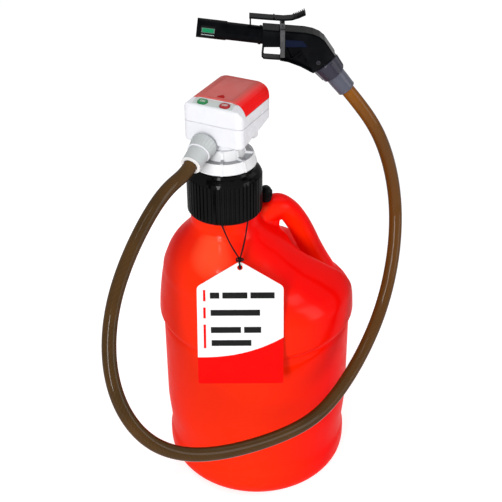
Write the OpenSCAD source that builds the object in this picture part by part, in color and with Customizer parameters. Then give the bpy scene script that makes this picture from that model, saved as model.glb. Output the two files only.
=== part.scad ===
// Battery fuel transfer pump standing on a round jug.
// A screw adapter joins the pump head to the jug's neck, and a stiff clear hose ends in an auto-stop nozzle.
// Millimetres, +Z up, origin at the centre of the jug's flat base.

/* [Jug] */
// Radius of the straight lower body
body_r = 129.5; // [115:0.5:145]
// How far the widest band stands out from the body
band_proud = 5; // [2:0.5:8]
// Height of the widest band above the floor
band_z = 262; // [235:1:290]
// Height of the shoulder from the widest band to the neck
shoulder_h = 138; // [125:1:155]
// Radius of the neck
neck_r = 45; // [42:0.5:48]
// Height of the neck from the shoulder to its rim
neck_h = 74; // [66:1:90]
// Distance from the body's axis to the neck's axis
neck_offset = 46.5; // [36:0.5:56]
// Direction of the handle, turned from +X towards +Y
handle_az = 30; // [10:1:50]
// Wall of the moulded jug
jug_wall = 3; // [2:0.25:4]
// Radius of the rounded edge round the base
foot_round = 34; // [24:1:44]
// Width of the grip across the handle
grip_w = 38; // [30:1:42]
// Thickness of the grip seen from the side
grip_t = 31; // [26:1:34]
// Depth of the finger pocket under the grip
pocket_depth = 63; // [54:1:66]
// Half of the angle that the finger pocket takes round the shoulder
pocket_half_angle = 36; // [28:1:44]

/* [Vent] */
// Distance of the vent from the neck's axis
vent_s = 61.5; // [60:0.5:65]
// Radius of the vent cap
vent_r = 9; // [7:0.5:10]
// Height of the vent cap
vent_h = 20; // [14:0.5:26]
// Radius of the vent's stem
vent_stem_r = 4.5; // [3:0.25:5.5]

/* [Adapter] */
// Radius over the adapter's ribs
adapter_r = 49; // [48.5:0.25:52]
// Height of the adapter's skirt with its top plate
adapter_h = 57; // [50:0.5:58]
// Number of ribs round the adapter
adapter_ribs = 54; // [36:1:72]
// Depth of each rib
adapter_rib_depth = 1.3; // [0.6:0.1:1.8]
// Thickness of the top plate
adapter_plate_t = 4.4; // [3:0.2:6]
// Outer radius of the male neck on top of the adapter
male_r = 29.6; // [28:0.2:31]
// Height of the male neck above the top plate
male_h = 15; // [12:0.5:18]
// Thickness of the gasket under the top plate
gasket_t = 3.3; // [2:0.1:4.5]

/* [Cap nut] */
// Radius of the nut's skirt at its lower edge
nut_r = 41.5; // [39:0.25:44]
// Height of the nut's skirt
nut_skirt_h = 14; // [12:0.5:17]
// Radius of the nut's boss at its foot
nut_boss_r = 27; // [25.5:0.25:29]
// Height of the boss above the skirt
nut_boss_h = 11.5; // [9:0.5:12]
// Number of ribs round the nut
nut_ribs = 8; // [6:1:12]
// Thickness of the washer inside the nut
washer_t = 1.8; // [1.2:0.1:2.4]

/* [Pump head] */
// Width of the pump head
head_w = 82; // [78:1:92]
// Length of the pump head
head_l = 85; // [81:1:95]
// Height of the pump head
head_h = 56; // [54:0.5:62]
// Distance from the neck's axis to the front wall
head_front = 31; // [29:0.5:34]
// Turn of the pump head on the neck
head_yaw = 26.5; // [0:0.5:60]
// Radius of the long top edges
head_top_r = 21; // [14:0.5:24]
// Radius of the upright corners
head_corner_r = 9; // [6:0.5:12]
// Wall of the two housings
head_wall = 2.2; // [1.6:0.1:2.8]
// Height of the lower housing at the front
seam_h = 26; // [24:0.5:28]
// Height of the cover's lower edge above the underside
cover_low_h = 39; // [37:0.5:41]
// Wall of the battery cover
cover_wall = 1.8; // [1.4:0.1:2.2]
// Length of the sloped control face, measured along the head
slope_l = 13.5; // [12.5:0.5:16]
// Angle at which the control face falls towards the front
slope_fall = 17; // [12:0.5:24]
// Step from the battery cover down to the control face
slope_step = 3; // [2:0.25:4]
// How far the underside rises towards the back
under_rise = 12; // [6:0.5:14]

/* [Buttons] */
// Length of a button
button_l = 13.6; // [11:0.2:15]
// Width of a button
button_w = 9.2; // [7:0.2:9.6]
// Distance between the two buttons
button_gap = 30.5; // [26:0.5:34]
// Travel of a button
button_travel = 1.2; // [0.6:0.1:1.4]

/* [Batteries and motor] */
// Radius of a battery
cell_r = 7.1; // [6.8:0.05:7.2]
// Length of a battery
cell_l = 50; // [48:0.5:50.5]
// Radius of the motor
motor_r = 12; // [10:0.25:12.2]
// Length of the motor
motor_l = 31; // [25:0.5:32]
// Radius of the drive shaft
shaft_r = 1.5; // [1.2:0.05:2]

/* [Intake tube] */
// Outer radius of the intake tube
tube_r = 18; // [17:0.25:18.5]
// Wall of the intake tube
tube_wall = 1.8; // [1.2:0.1:2.2]
// Height of the strainer's foot above the jug's inner floor
strainer_clear = 8; // [4:0.5:20]
// Number of slots round the strainer
strainer_slots = 12; // [8:1:16]
// Number of blades on the impeller
impeller_blades = 5; // [3:1:7]

/* [Outlet] */
// Sideways place of the outlet on the front wall
outlet_x = -8; // [-12:0.5:8]
// Height of the outlet's axis at the front wall, above the underside
outlet_h = 3; // [2:0.5:5]
// Angle at which the outlet points down
outlet_droop = 20.5; // [10:0.5:24]
// Radius of the outlet collar at the wall
collar_r = 17; // [16:0.25:18]
// Length of the outlet collar
collar_l = 19; // [17:0.5:22]
// Number of ribs round the outlet collar
collar_ribs = 24; // [16:1:32]
// Length of the plain sleeve in front of the collar
sleeve_l = 22; // [19:0.5:26]

/* [Hose] */
// Outer radius of the hose
hose_r = 9; // [8:0.25:9.5]
// Wall of the hose
hose_wall = 2.5; // [1.5:0.25:3]

/* [Nozzle] */
// Radius of the spout
spout_r = 10.6; // [9.5:0.1:11]
// Length of the spout in front of the nozzle's body
spout_l = 79; // [60:1:100]
// Wall of the spout
spout_wall = 2; // [1.5:0.1:2.4]
// Height of the spout's axis where it leaves the body
nozzle_z = 657.5; // [650:0.5:665]
// Angle at which the spout rises towards its tip
spout_tilt = 7.3; // [0:0.1:12]
// Thickness of the nozzle's body from side to side
nozzle_w = 27; // [25:0.5:30]
// Wall of the nozzle's shells
nozzle_wall = 2; // [1.5:0.1:2.4]
// Height of the clip's plate above the spout's axis
clip_h = 24; // [21:0.5:28]
// Width of the clip
clip_w = 15; // [12:0.5:17]
// Thickness of the clip's plate
clip_t = 2.2; // [1.6:0.1:2.8]

/* [Tag] */
// Width of the card
tag_w = 110; // [90:1:120]
// Height of the card
tag_h = 163; // [140:1:175]
// Thickness of the card
tag_t = 1.2; // [0.6:0.1:2]
// Angle at which the card leans back on the shoulder
tag_lean = 16.5; // [12:0.5:17]
// Radius of the card's hole
tag_hole_r = 3.5; // [2.5:0.25:4.5]

/* [Hidden] */
beyond = 200;             // wider than any part that is cut right through

// Clearances
fit_gap = 0.3;       // between faces that only meet
slide_gap = 0.3;     // round a part that slides or turns by hand
run_gap = 0.05;      // radial, between a shaft and its bearing
thread_gap = 0.4;    // radial, between a male and a female thread
eps = 0.01;

function lerp(a, b, t) = a + (b - a) * t;
function rise(t) = (1 - cos(180 * min(1, max(0, t)))) / 2;

// ---------- Jug ----------
jug_r = body_r + band_proud;
neck_x = -neck_offset * cos(handle_az);
neck_y = -neck_offset * sin(handle_az);
neck_z = band_z + shoulder_h;
rim_z = neck_z + neck_h;
foot_z = 46;            // top of the foot band
foot_step = 2.5;        // the body is drawn in by this above the foot band
groove_h = 12;          // from the groove under the widest band to the band
groove_run = 10;        // height in which the body draws in to the groove
band_rise = 9;          // height in which it swings out again to the band
groove_depth = 2.5;
groove_z = band_z - groove_h;
neck_flare = 4;         // the neck's root is wider than the neck by this
jug_sides = 60;

// Shoulder: share of the way up, share of the radius given up, share of the neck's offset taken.
shoulder_rows = [[0, 0, 0], [0.17, 0.02, 0], [0.28, 0.05, 0.02], [0.38, 0.125, 0.13], [0.46, 0.23, 0.3],
    [0.54, 0.33, 0.48], [0.64, 0.475, 0.68], [0.75, 0.62, 0.85], [0.855, 0.76, 0.93], [0.94, 0.9, 0.98],
    [1, 1, 1]];
// Finger pocket: share of the way up the shoulder, share of the pocket's depth.
pocket_rows = [[0.13, 0], [0.19, 0.3], [0.25, 0.64], [0.32, 0.92], [0.4, 1], [0.52, 0.75], [0.64, 0.36],
    [0.76, 0]];

function column(rows, k) = [for (r = rows) [r[0], r[k]]];
shoulder_share = column(shoulder_rows, 1);
offset_share = column(shoulder_rows, 2);
root_r = neck_r + neck_flare;

// Radius of the outer skin at a height.
function skin_r(z) =
    z < foot_round ? body_r - foot_round + foot_round * sqrt(1 - pow(1 - z / foot_round, 2)) - 0.5 * foot_step
    : z <= foot_z ? body_r - 0.5 * foot_step
    : z < foot_z + 14 ? body_r - foot_step * (0.5 + rise((z - foot_z) / 14))
    : z < groove_z - groove_run ? lerp(body_r - 1.5 * foot_step, body_r, rise((z - foot_z - 14) / 60))
    : z < groove_z ? body_r - groove_depth * rise(1 + (z - groove_z) / groove_run)
    : z < band_z ? lerp(body_r - groove_depth, jug_r, rise((z - groove_z) / band_rise))
    : z < neck_z ? lerp(jug_r, root_r, lookup((z - band_z) / shoulder_h, shoulder_share))
    : lerp(root_r, neck_r, rise((z - neck_z) / 8));
// Share of the neck's offset at a height.
function skin_shift(z) = z < band_z ? 0 : z < neck_z ? lookup((z - band_z) / shoulder_h, offset_share) : 1;
// Depth of the finger pocket at a height and an angle from the handle.
function pocket(z, a) =
    z < band_z || z > neck_z || abs(a) > pocket_half_angle ? 0
    : pocket_depth * lookup((z - band_z) / shoulder_h, pocket_rows)
        * rise(1 - pow(abs(a) / pocket_half_angle, 1.6));
function ring(z, inset) = [for (i = [0:jug_sides - 1])
    let (a = i * 360 / jug_sides, b = a > 180 ? a - 360 : a,
        r = skin_r(z) - inset - pocket(z, b), s = skin_shift(z))
    [neck_x * s + r * cos(handle_az + a), neck_y * s + r * sin(handle_az + a), z]];

shoulder_heights = [for (t = [0, 0.08, 0.13, 0.19, 0.25, 0.32, 0.4, 0.46, 0.52, 0.58, 0.64, 0.7, 0.76, 0.855, 0.94, 1])
    band_z + shoulder_h * t];
outer_heights = concat([for (t = [0, 0.04, 0.14, 0.32, 0.6, 1]) foot_round * t],
    [foot_z, foot_z + 14, foot_z + 74, groove_z - groove_run, groove_z, groove_z + band_rise],
    shoulder_heights, [neck_z + 8, rim_z]);
inner_heights = concat([jug_wall, jug_wall + 6, foot_round, foot_z + 14, foot_z + 74, groove_z - groove_run,
    groove_z, groove_z + band_rise], shoulder_heights, [neck_z + 8, rim_z + 5]);

// Joins rings of equal count into one closed skin, with a flat face over the first and the last ring.
module skin(rings) {
    n = len(rings[0]);
    m = len(rings);
    faces = concat([[for (i = [0:n - 1]) i]],
        [for (k = [0:m - 2], i = [0:n - 1]) [k * n + i, (k + 1) * n + i, k * n + (i + 1) % n]],
        [for (k = [0:m - 2], i = [0:n - 1]) [k * n + (i + 1) % n, (k + 1) * n + i, (k + 1) * n + (i + 1) % n]],
        [[for (i = [n - 1:-1:0]) (m - 1) * n + i]]);
    polyhedron(points = [for (r = rings) each r], faces = faces, convexity = 10);
}

// Grip: share of the reach from the neck's axis to the jug's widest edge, share of the shoulder's height.
grip_route = [[0.241, 0.949], [0.347, 1.018], [0.439, 1.032], [0.526, 0.958], [0.601, 0.823],
    [0.668, 0.659],
    [0.734, 0.47], [0.806, 0.288], [0.868, 0.142], [0.902, 0.033]];
reach = neck_offset + jug_r;
grip_sides = 16;
function grip_point(k) = [grip_route[k][0] * reach, 0, band_z + grip_route[k][1] * shoulder_h];
function along(points, k) = let (n = len(points),
    d = points[min(n - 1, k + 1)] - points[max(0, k - 1)]) d / norm(d);
grip_points = [for (k = [0:len(grip_route) - 1]) grip_point(k)];
function grip_ring(k) = let (d = along(grip_points, k), up = [-d[2], 0, d[0]])
    [for (i = [0:grip_sides - 1]) let (a = i * 360 / grip_sides)
        grip_points[k] + [0, grip_w / 2 * cos(a), 0] + up * grip_t / 2 * sin(a)];

web_reach = 32;          // from the neck's root to the web's far edge
web_l = 60;              // long enough to start inside the jug
web_inset = 8;           // the web is narrower than the grip by this
web_low = band_z + 0.56 * shoulder_h;

module at_handle() {
    translate([neck_x, neck_y, 0]) rotate([0, 0, handle_az]) children();
}

module jug_shell() {
    color("red") difference() {
        union() {
            skin([for (z = outer_heights) ring(z, 0)]);
            at_handle() {
                skin([for (k = [0:len(grip_route) - 1]) grip_ring(k)]);
                // web that fills the corner between the neck and the grip
                translate([root_r + web_reach - web_l / 2, 0, web_low]) linear_extrude(neck_z - web_low)
                    stadium(web_l, grip_w - web_inset);
            }
        }
        skin([for (z = inner_heights) ring(z, jug_wall)]);
        // seat of the vent
        at_vent() {
            translate([0, 0, -vent_stem_l - fit_gap]) cylinder(r = vent_stem_r,
                h = vent_stem_l + 1, $fn = 40);
            cylinder(r = vent_r + fit_gap, h = 20, $fn = 48);
        }
    }
}

// ---------- Vent on top of the handle's root ----------
vent_top_z = band_z + 1.032 * shoulder_h + grip_t / 2 - 2;
vent_stem_l = 8;
module at_vent() {
    at_handle() translate([vent_s, 0, vent_top_z]) children();
}
module vent_seat() {
    color("dimgray") at_vent() {
        translate([0, 0, -vent_stem_l]) cylinder(r = vent_stem_r, h = vent_stem_l + vent_h - 6, $fn = 40);
        cylinder(r = vent_r - 1.5, h = 2, $fn = 48);
    }
}
module vent_cap() {
    color("black") at_vent() translate([0, 0, 2 + fit_gap]) difference() {
        union() {
            rotate_extrude($fn = 64) polygon([[0, 0], [vent_r - 0.8, 0], [vent_r - 0.8, vent_h * 0.6],
                [vent_r - 2.5, vent_h * 0.78], [vent_r - 5, vent_h * 0.9], [0, vent_h * 0.95]]);
            for (i = [0:23]) rotate([0, 0, i * 15]) translate([vent_r - 1.3, -0.5, vent_h * 0.2])
                cube([1.3, 1, vent_h * 0.38]);
        }
        translate([0, 0, -eps]) cylinder(r = vent_stem_r + run_gap, h = vent_h - 7.5, $fn = 48);
    }
}

// ---------- Adapter ----------
plate_low = rim_z + gasket_t + fit_gap;
adapter_top = plate_low + adapter_plate_t;
adapter_low = adapter_top - adapter_h;
male_top = adapter_top + male_h;
male_bore = male_r - 5.1;
riser_r = male_bore - 2.8;
module in_neck() {
    translate([neck_x, neck_y, 0]) children();
}
// Outline with flat-topped ribs round a circle.
function ribbed(r, depth, count) = [for (i = [0:count - 1], q = [[0.02, 0], [0.12, 1], [0.62, 1],
    [0.72, 0]])
    let (a = (i + q[0]) * 360 / count) (r - depth * (1 - q[1])) * [cos(a), sin(a)]];
module adapter_cap() {
    dome_r = nut_r - 1;
    color("black") in_neck() difference() {
        intersection() {
            union() {
                translate([0, 0, adapter_low]) linear_extrude(adapter_h - 3)
                    polygon(ribbed(adapter_r, adapter_rib_depth, adapter_ribs));
                translate([0, 0, adapter_top - 3 - eps]) cylinder(r = adapter_r - adapter_rib_depth,
                    h = 3 + 6, $fn = 96);
                translate([0, 0, adapter_top]) cylinder(r = male_r, h = male_h, $fn = 96);
            }
            rotate_extrude($fn = 96) polygon([[0, adapter_low], [adapter_r - 1.5, adapter_low],
                [adapter_r + 1, adapter_low + 2.5], [adapter_r + 1, adapter_top - 8],
                [adapter_r - 0.6, adapter_top - 5], [adapter_r - 2, adapter_top - 2.2],
                [adapter_r - 4.2, adapter_top - 0.3], [dome_r, adapter_top + 2.5],
                    [dome_r - 1, adapter_top + 6],
                [male_r, adapter_top + 6], [male_r, male_top], [0, male_top]]);
        }
        translate([0, 0, adapter_low - 1]) cylinder(r = neck_r + thread_gap,
            h = plate_low - adapter_low + 1, $fn = 96);
        translate([0, 0, plate_low - 1]) cylinder(r = male_bore, h = 100, $fn = 96);
    }
}
module adapter_gasket() {
    color("dimgray") in_neck() translate([0, 0, rim_z + fit_gap]) difference() {
        cylinder(r = neck_r - 0.5, h = gasket_t, $fn = 96);
        translate([0, 0, -1]) cylinder(r = male_bore + 2, h = gasket_t + 2, $fn = 96);
    }
}

// ---------- Cap nut and washer ----------
nut_low = adapter_top + 9;
nut_shelf = nut_low + nut_skirt_h - 1.5;
nut_top = nut_low + nut_skirt_h + nut_boss_h;
flange_low = male_top + fit_gap + washer_t;
flange_t = 2.2;
flange_top = flange_low + flange_t;
module cap_nut() {
    skirt_top_r = nut_r - 3.5;
    rib_w = 3.4;
    nut_rest = -3;        // turn of the first rib with the nut tightened
    color("white") in_neck() difference() {
        union() {
            rotate_extrude($fn = 96) polygon([[0, nut_low], [nut_r, nut_low], [nut_r, nut_low + 2],
                [skirt_top_r, nut_low + nut_skirt_h], [skirt_top_r - 1.5, nut_low + nut_skirt_h],
                [skirt_top_r - 2, nut_shelf], [nut_boss_r, nut_shelf], [nut_boss_r - 2.5, nut_top - 1.2],
                [nut_boss_r - 3.5, nut_top], [0, nut_top]]);
            for (i = [0:nut_ribs - 1]) rotate([0, 0, nut_rest + i * 360 / nut_ribs]) rotate([90, 0, 0])
                translate([0, 0, -rib_w / 2]) linear_extrude(rib_w)
                polygon([[nut_boss_r - 3, nut_low], [nut_r + 0.9, nut_low], [nut_r + 0.9, nut_low + 2],
                    [skirt_top_r + 0.9, nut_low + nut_skirt_h],
                        [skirt_top_r - 1, nut_low + nut_skirt_h + 1.2],
                    [nut_boss_r + 1.2, nut_low + nut_skirt_h + 2.2], [nut_boss_r - 1.6, nut_top - 1.4],
                    [nut_boss_r - 4, nut_top - 1.4]]);
        }
        translate([0, 0, nut_low - 1]) cylinder(r = male_r + thread_gap,
            h = flange_top + slide_gap - nut_low + 1, $fn = 96);
        translate([0, 0, nut_low]) cylinder(r = riser_r + slide_gap, h = 60, $fn = 96);
    }
}
module nut_washer() {
    color("dimgray") in_neck() translate([0, 0, flange_low - washer_t]) difference() {
        cylinder(r = male_r - 0.4, h = washer_t, $fn = 96);
        translate([0, 0, -1]) cylinder(r = riser_r + 0.2, h = washer_t + 2, $fn = 96);
    }
}

// ---------- Pump head ----------
head_z = nut_top + 11.5;
head_back = head_l - head_front;
nose_back = slope_l - head_front;
nose_round = 2.2;         // from the nose's edge to where its rounding starts
deck_top = cover_low_h - 3.5;
deck_t = 2;
tube_top = flange_top + 3.7;
chamber_top = head_z + 18;
chamber_r = riser_r - 3.7;
chamber_rim_r = riser_r + 3.3;
screw_r = 1.5;
screw_seat = 18;          // height of the housing screws' heads above the underside
screw_spots = [[-32.5, 9 - head_front], [32.5, 9 - head_front], [-32.5, head_back - 12],
    [32.5, head_back - 12]];
cup_screw_r = 1.2;
cup_screw_ring = (chamber_r + chamber_rim_r) / 2;

module in_head() {
    translate([neck_x, neck_y, 0]) rotate([0, 0, -head_yaw]) children();
}
// The head's outer form, drawn in all round: a round-topped section, a round-cornered plan
// and the side's outline.
module head_section(inset) {
    w = head_w / 2 - inset;
    r = head_top_r - inset;
    translate([-w, -5]) square([2 * w, head_h - inset - r + 5]);
    translate([r - w, -5]) square([2 * (w - r), head_h - inset + 5]);
    for (s = [-1, 1]) translate([s * (w - r), head_h - inset - r]) circle(r = r, $fn = 64);
}
module head_plan(inset) {
    w = head_w / 2 - inset;
    r = head_corner_r - min(inset, head_corner_r - 1);
    low = inset - head_front;
    high = head_back - inset;
    translate([r - w, low]) square([2 * (w - r), high - low]);
    translate([-w, low + r]) square([2 * w, high - low - 2 * r]);
    for (s = [-1, 1], y = [low + r, high - r]) translate([s * (w - r), y]) circle(r = r, $fn = 48);
}
// The side's outline. Uncovered, its top is the control face, which rounds off into the front wall.
module head_side(inset, covered) {
    top = head_h + 5;
    face = head_h - slope_step - inset / cos(slope_fall);
    front = inset - head_front - eps;
    nose = [front, face - (nose_back - front) * tan(slope_fall)];
    curve = [for (t = [0:0.25:1])
        nose + nose_round * (pow(1 - t, 2) * [cos(slope_fall), sin(slope_fall)] - t * t * [0, 1])];
    polygon(concat([[front - 5, inset], [4 - head_front, inset], [head_back + 5, under_rise + 3 + inset],
        [head_back + 5, top]], covered ? [[front - 5, top]]
        : concat([[nose_back + (top - face) / tan(slope_fall), top]], curve, [[front - 5, curve[4][1]]])));
}
module head_form(inset, covered = false) {
    translate([0, 0, head_z]) intersection() {
        rotate([90, 0, 0]) linear_extrude(beyond, center = true) head_section(inset);
        linear_extrude(beyond, center = true) head_plan(inset);
        rotate([90, 0, 90]) linear_extrude(beyond, center = true) head_side(inset, covered);
    }
}
// Keeps what lies between two heights above the underside and two places along the head.
module between(low, high, front = -beyond / 2, back = beyond / 2) {
    intersection() {
        children();
        translate([-beyond / 2, front, head_z + low]) cube([beyond, back - front, high - low]);
    }
}
// Frame of the sloped control face, from the middle of its label: X along the face, Z out of it.
module in_slope() {
    translate([0, nose_back, head_z + head_h - slope_step]) rotate([slope_fall, 0, 0])
        translate([0, -label_margin - label_w / 2, 0]) children();
}
module stadium(l, w) {
    square([l - w, w], center = true);
    for (s = [-1, 1]) translate([s * (l - w) / 2, 0]) circle(r = w / 2, $fn = 48);
}
// Frame of the outlet: Z along the hose.
module at_outlet() {
    in_head() translate([outlet_x, -head_front, head_z + outlet_h]) rotate([90 + outlet_droop, 0, 0])
        children();
}
spigot_l = collar_l + 0.5;

module lower_housing() {
    color("white") difference() {
        union() {
            in_head() {
                difference() {
                    union() {
                        between(-1, seam_h - 0.8) head_form(0);
                        between(seam_h - 0.8 - eps, seam_h) head_form(0.5);
                    }
                    head_form(head_wall);
                }
                between(-1, seam_h) intersection() {
                    head_form(0.6);
                    for (p = screw_spots) translate([p[0], p[1], head_z]) cylinder(r = 4.5,
                        h = seam_h, $fn = 32);
                }
                // riser, flange that the cap nut pulls down, and rim of the pump chamber
                translate([0, 0, tube_top - 20]) cylinder(r = riser_r,
                    h = chamber_top - tube_top + 20, $fn = 96);
                translate([0, 0, flange_low]) cylinder(r = male_r - 0.4, h = flange_t, $fn = 96);
                translate([0, 0, chamber_top - 8]) cylinder(r = chamber_rim_r, h = 8, $fn = 96);
                // foot under the right side
                translate([head_w / 2 - 8, 5, head_z + 1]) cube([7.5, 11, 8]);
            }
            at_outlet() translate([0, 0, -12]) cylinder(r = hose_r, h = 12 + spigot_l, $fn = 64);
        }
        in_head() {
            translate([0, 0, tube_top - 21]) cylinder(r = tube_r + run_gap, h = 21, $fn = 96);
            translate([0, 0, tube_top - 1]) cylinder(r = tube_r - tube_wall, h = 10, $fn = 96);
            translate([0, 0, tube_top + 2]) cylinder(r = chamber_r, h = 100, $fn = 96);
            for (p = screw_spots) translate([p[0], p[1], head_z - 10]) {
                cylinder(r = screw_r + 1.6, h = screw_seat + 10, $fn = 32);
                cylinder(r = screw_r + 0.1, h = 60, $fn = 32);
            }
            for (i = [0:3]) rotate([0, 0, 45 + i * 90]) translate([cup_screw_ring, 0, chamber_top - 6])
                cylinder(r = cup_screw_r, h = 7, $fn = 24);
        }
        at_outlet() translate([0, 0, -18]) cylinder(r = hose_r - hose_wall, h = 60, $fn = 64);
    }
}
module upper_housing() {
    body_inset = cover_wall + slide_gap;
    color("white") in_head() difference() {
        union() {
            difference() {
                union() {
                    between(seam_h, cover_low_h) head_form(0);
                    between(cover_low_h - eps, 100, -150, nose_back) head_form(0);
                    between(cover_low_h - eps, 100, nose_back - eps) head_form(body_inset, true);
                }
                between(seam_h - 1, deck_top - deck_t) head_form(head_wall);
                between(deck_top, 100, nose_back) head_form(body_inset + head_wall, true);
                between(deck_top, 100, -150, nose_back + 1) head_form(head_wall);
            }
            for (p = screw_spots) translate([p[0], p[1], head_z + seam_h])
                cylinder(r = 4, h = deck_top - deck_t - seam_h + eps, $fn = 32);
            for (s = [-1, 1]) in_slope() translate([s * post_x, 0, board_low + board_t])
                cylinder(r = post_r, h = -board_low - board_t - 1, $fn = 24);
        }
        translate([-tray_w / 2 - fit_gap, tray_front - fit_gap, head_z + deck_top])
            cube([tray_w + 2 * fit_gap, tray_l + 2 * fit_gap, 50]);
        for (p = screw_spots) translate([p[0], p[1], head_z + seam_h - 1]) cylinder(r = screw_r,
            h = 7, $fn = 32);
        for (s = [-1, 1]) {
            in_slope() translate([s * button_gap / 2, 0, -6]) linear_extrude(12)
                stadium(button_l + 2 * slide_gap, button_w + 2 * slide_gap);
            // groove that the cover's rail runs in
            translate([s * (head_w / 2 - 2.55) - 1.55, nose_back, head_z + cover_low_h + 0.6])
                cube([3.1, 100, 2]);
        }
    }
}
module screw(r, l, head_r, head_t) {
    cylinder(r = r, h = l, $fn = 32);
    translate([0, 0, -head_t]) difference() {
        cylinder(r = head_r, h = head_t, $fn = 32);
        for (a = [0, 90]) rotate([0, 0, a]) translate([-head_r * 0.6, -0.35, -1])
            cube([head_r * 1.2, 0.7, 1.8]);
    }
}
module housing_screws() {
    color("silver") in_head() for (p = screw_spots) translate([p[0], p[1], head_z + screw_seat])
        screw(screw_r, seam_h - screw_seat + 6, screw_r + 1.2, 2.2);
}

// ---------- Battery cover ----------
plate_t = 0.8;
plate_w = head_w - 2 * head_top_r - 1;
plate_front = nose_back + fit_gap + 3;
plate_l = head_back - plate_front - 5;
module battery_cover() {
    cover_low = cover_low_h + slide_gap;
    cover_front = nose_back + fit_gap;
    color("red") in_head() {
        difference() {
            between(cover_low, 100, cover_front) head_form(0, true);
            head_form(cover_wall, true);
            translate([-plate_w / 2, plate_front, head_z + head_h - plate_t]) cube([plate_w, plate_l, 2]);
        }
        for (s = [-1, 1]) translate([s * (head_w / 2 - 2.85) - 0.95, cover_front + 1, head_z + cover_low_h + 0.9])
            cube([1.9, head_back - cover_front - 14, 1.4]);
    }
}
module cover_plate() {
    color("indianred") in_head() translate([-plate_w / 2, plate_front, head_z + head_h - plate_t])
        cube([plate_w, plate_l, plate_t]);
}
module cover_latch() {
    color("firebrick") in_head() translate([-9, head_back, head_z + cover_low_h + 1]) {
        cube([18, 1.2, 11]);
        for (i = [0:2]) translate([2, 1.2 - eps, 3 + i * 2.5]) cube([14, 0.8, 1]);
    }
}

// ---------- Control face ----------
label_w = 11.2;
label_reach = 27;         // half of the label's length
label_margin = 0.6;
button_proud = 1.6;
button_low = -3.6;
ear_l = 0.8;
post_r = 1.5;
post_x = button_gap / 2 + button_l / 2 + ear_l + slide_gap + post_r;
board_w = 2 * (post_x + post_r);
board_t = 1.4;
board_low = -9;
module control_label() {
    color("silver") in_head() in_slope() linear_extrude(0.4) difference() {
        translate([-label_reach, -label_w / 2]) square([2 * label_reach, label_w]);
        for (s = [-1, 1]) translate([s * button_gap / 2, 0]) stadium(button_l + 1, button_w + 1);
    }
}
module button(side) {
    in_head() in_slope() translate([side * button_gap / 2, 0, 0]) {
        translate([0, 0, button_low]) linear_extrude(button_proud - 0.6 - button_low)
            stadium(button_l, button_w);
        translate([0, 0, button_proud - 0.6 - eps]) linear_extrude(0.6)
            stadium(button_l - 1.2, button_w - 1.2);
        translate([-button_l / 2 - ear_l, -1.5, button_low]) cube([button_l + 2 * ear_l, 3, 1.1]);
    }
}
module on_button() {
    color("green") button(-1);
}
module off_button() {
    color("crimson") button(1);
}
module switch_board() {
    color("darkgreen") in_head() in_slope() translate([-board_w / 2, -4.75, board_low])
        cube([board_w, 9.5, board_t]);
}
module tact_switch(side) {
    color("dimgray") in_head() in_slope() translate([side * button_gap / 2, 0, board_low + board_t]) {
        translate([-3, -3, 0]) cube([6, 6, 1.6]);
        cylinder(r = 1.7, h = button_low - button_travel - 0.2 - board_low - board_t, $fn = 32);
    }
}

// ---------- Battery bay ----------
cell_pitch = 2 * cell_r + 0.5;
tray_w = 4 * cell_pitch + 2;
tray_wall = 1.5;
bay_l = cell_l + 7;
tray_l = bay_l + 2 * tray_wall;
tray_front = nose_back + 5.3;
bay_front = tray_front + tray_wall;
tray_floor = 2.4;
tray_h = 12;
contact_t = 0.4;
cell_z = head_z + deck_top + tray_floor + cell_r;
module battery_tray() {
    color("gray") in_head() translate([0, tray_front, head_z + deck_top]) difference() {
        translate([-tray_w / 2, 0, 0]) cube([tray_w, tray_l, tray_h]);
        translate([1 - tray_w / 2, tray_wall, tray_floor + 3]) cube([tray_w - 2, bay_l, tray_h]);
        for (i = [0:3]) translate([(i - 1.5) * cell_pitch, tray_wall, tray_floor + cell_r + 0.15])
            rotate([-90, 0, 0])
            cylinder(r = cell_r + 0.15, h = bay_l, $fn = 48);
    }
}
// Cells lie side by side and point forwards and backwards in turn.
module at_cell(i) {
    turned = i % 2 == 1;
    in_head() translate([(i - 1.5) * cell_pitch, bay_front + (turned ? bay_l : 0), cell_z])
        rotate([turned ? 90 : -90, 0, 0]) children();
}
module battery(i) {
    color("goldenrod") at_cell(i) {
        translate([0, 0, 1]) cylinder(r = cell_r * 0.38, h = 1 + eps, $fn = 32);
        translate([0, 0, 2]) cylinder(r = cell_r, h = cell_l - 1, $fn = 48);
    }
}
module battery_contacts() {
    color("silver") {
        in_head() for (y = [bay_front, bay_front + bay_l - contact_t])
            translate([-2 * cell_pitch + 1, y, head_z + deck_top + tray_floor + 3])
                cube([4 * cell_pitch - 2, contact_t, 8]);
        for (i = [0:3]) at_cell(i) {
            translate([0, 0, contact_t - eps]) cylinder(r = 2.2, h = 1 - contact_t + eps, $fn = 32);
            translate([0, 0, cell_l + 1]) cylinder(r1 = 3, r2 = 4.5, h = 6 - contact_t, $fn = 32);
        }
    }
}

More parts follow.
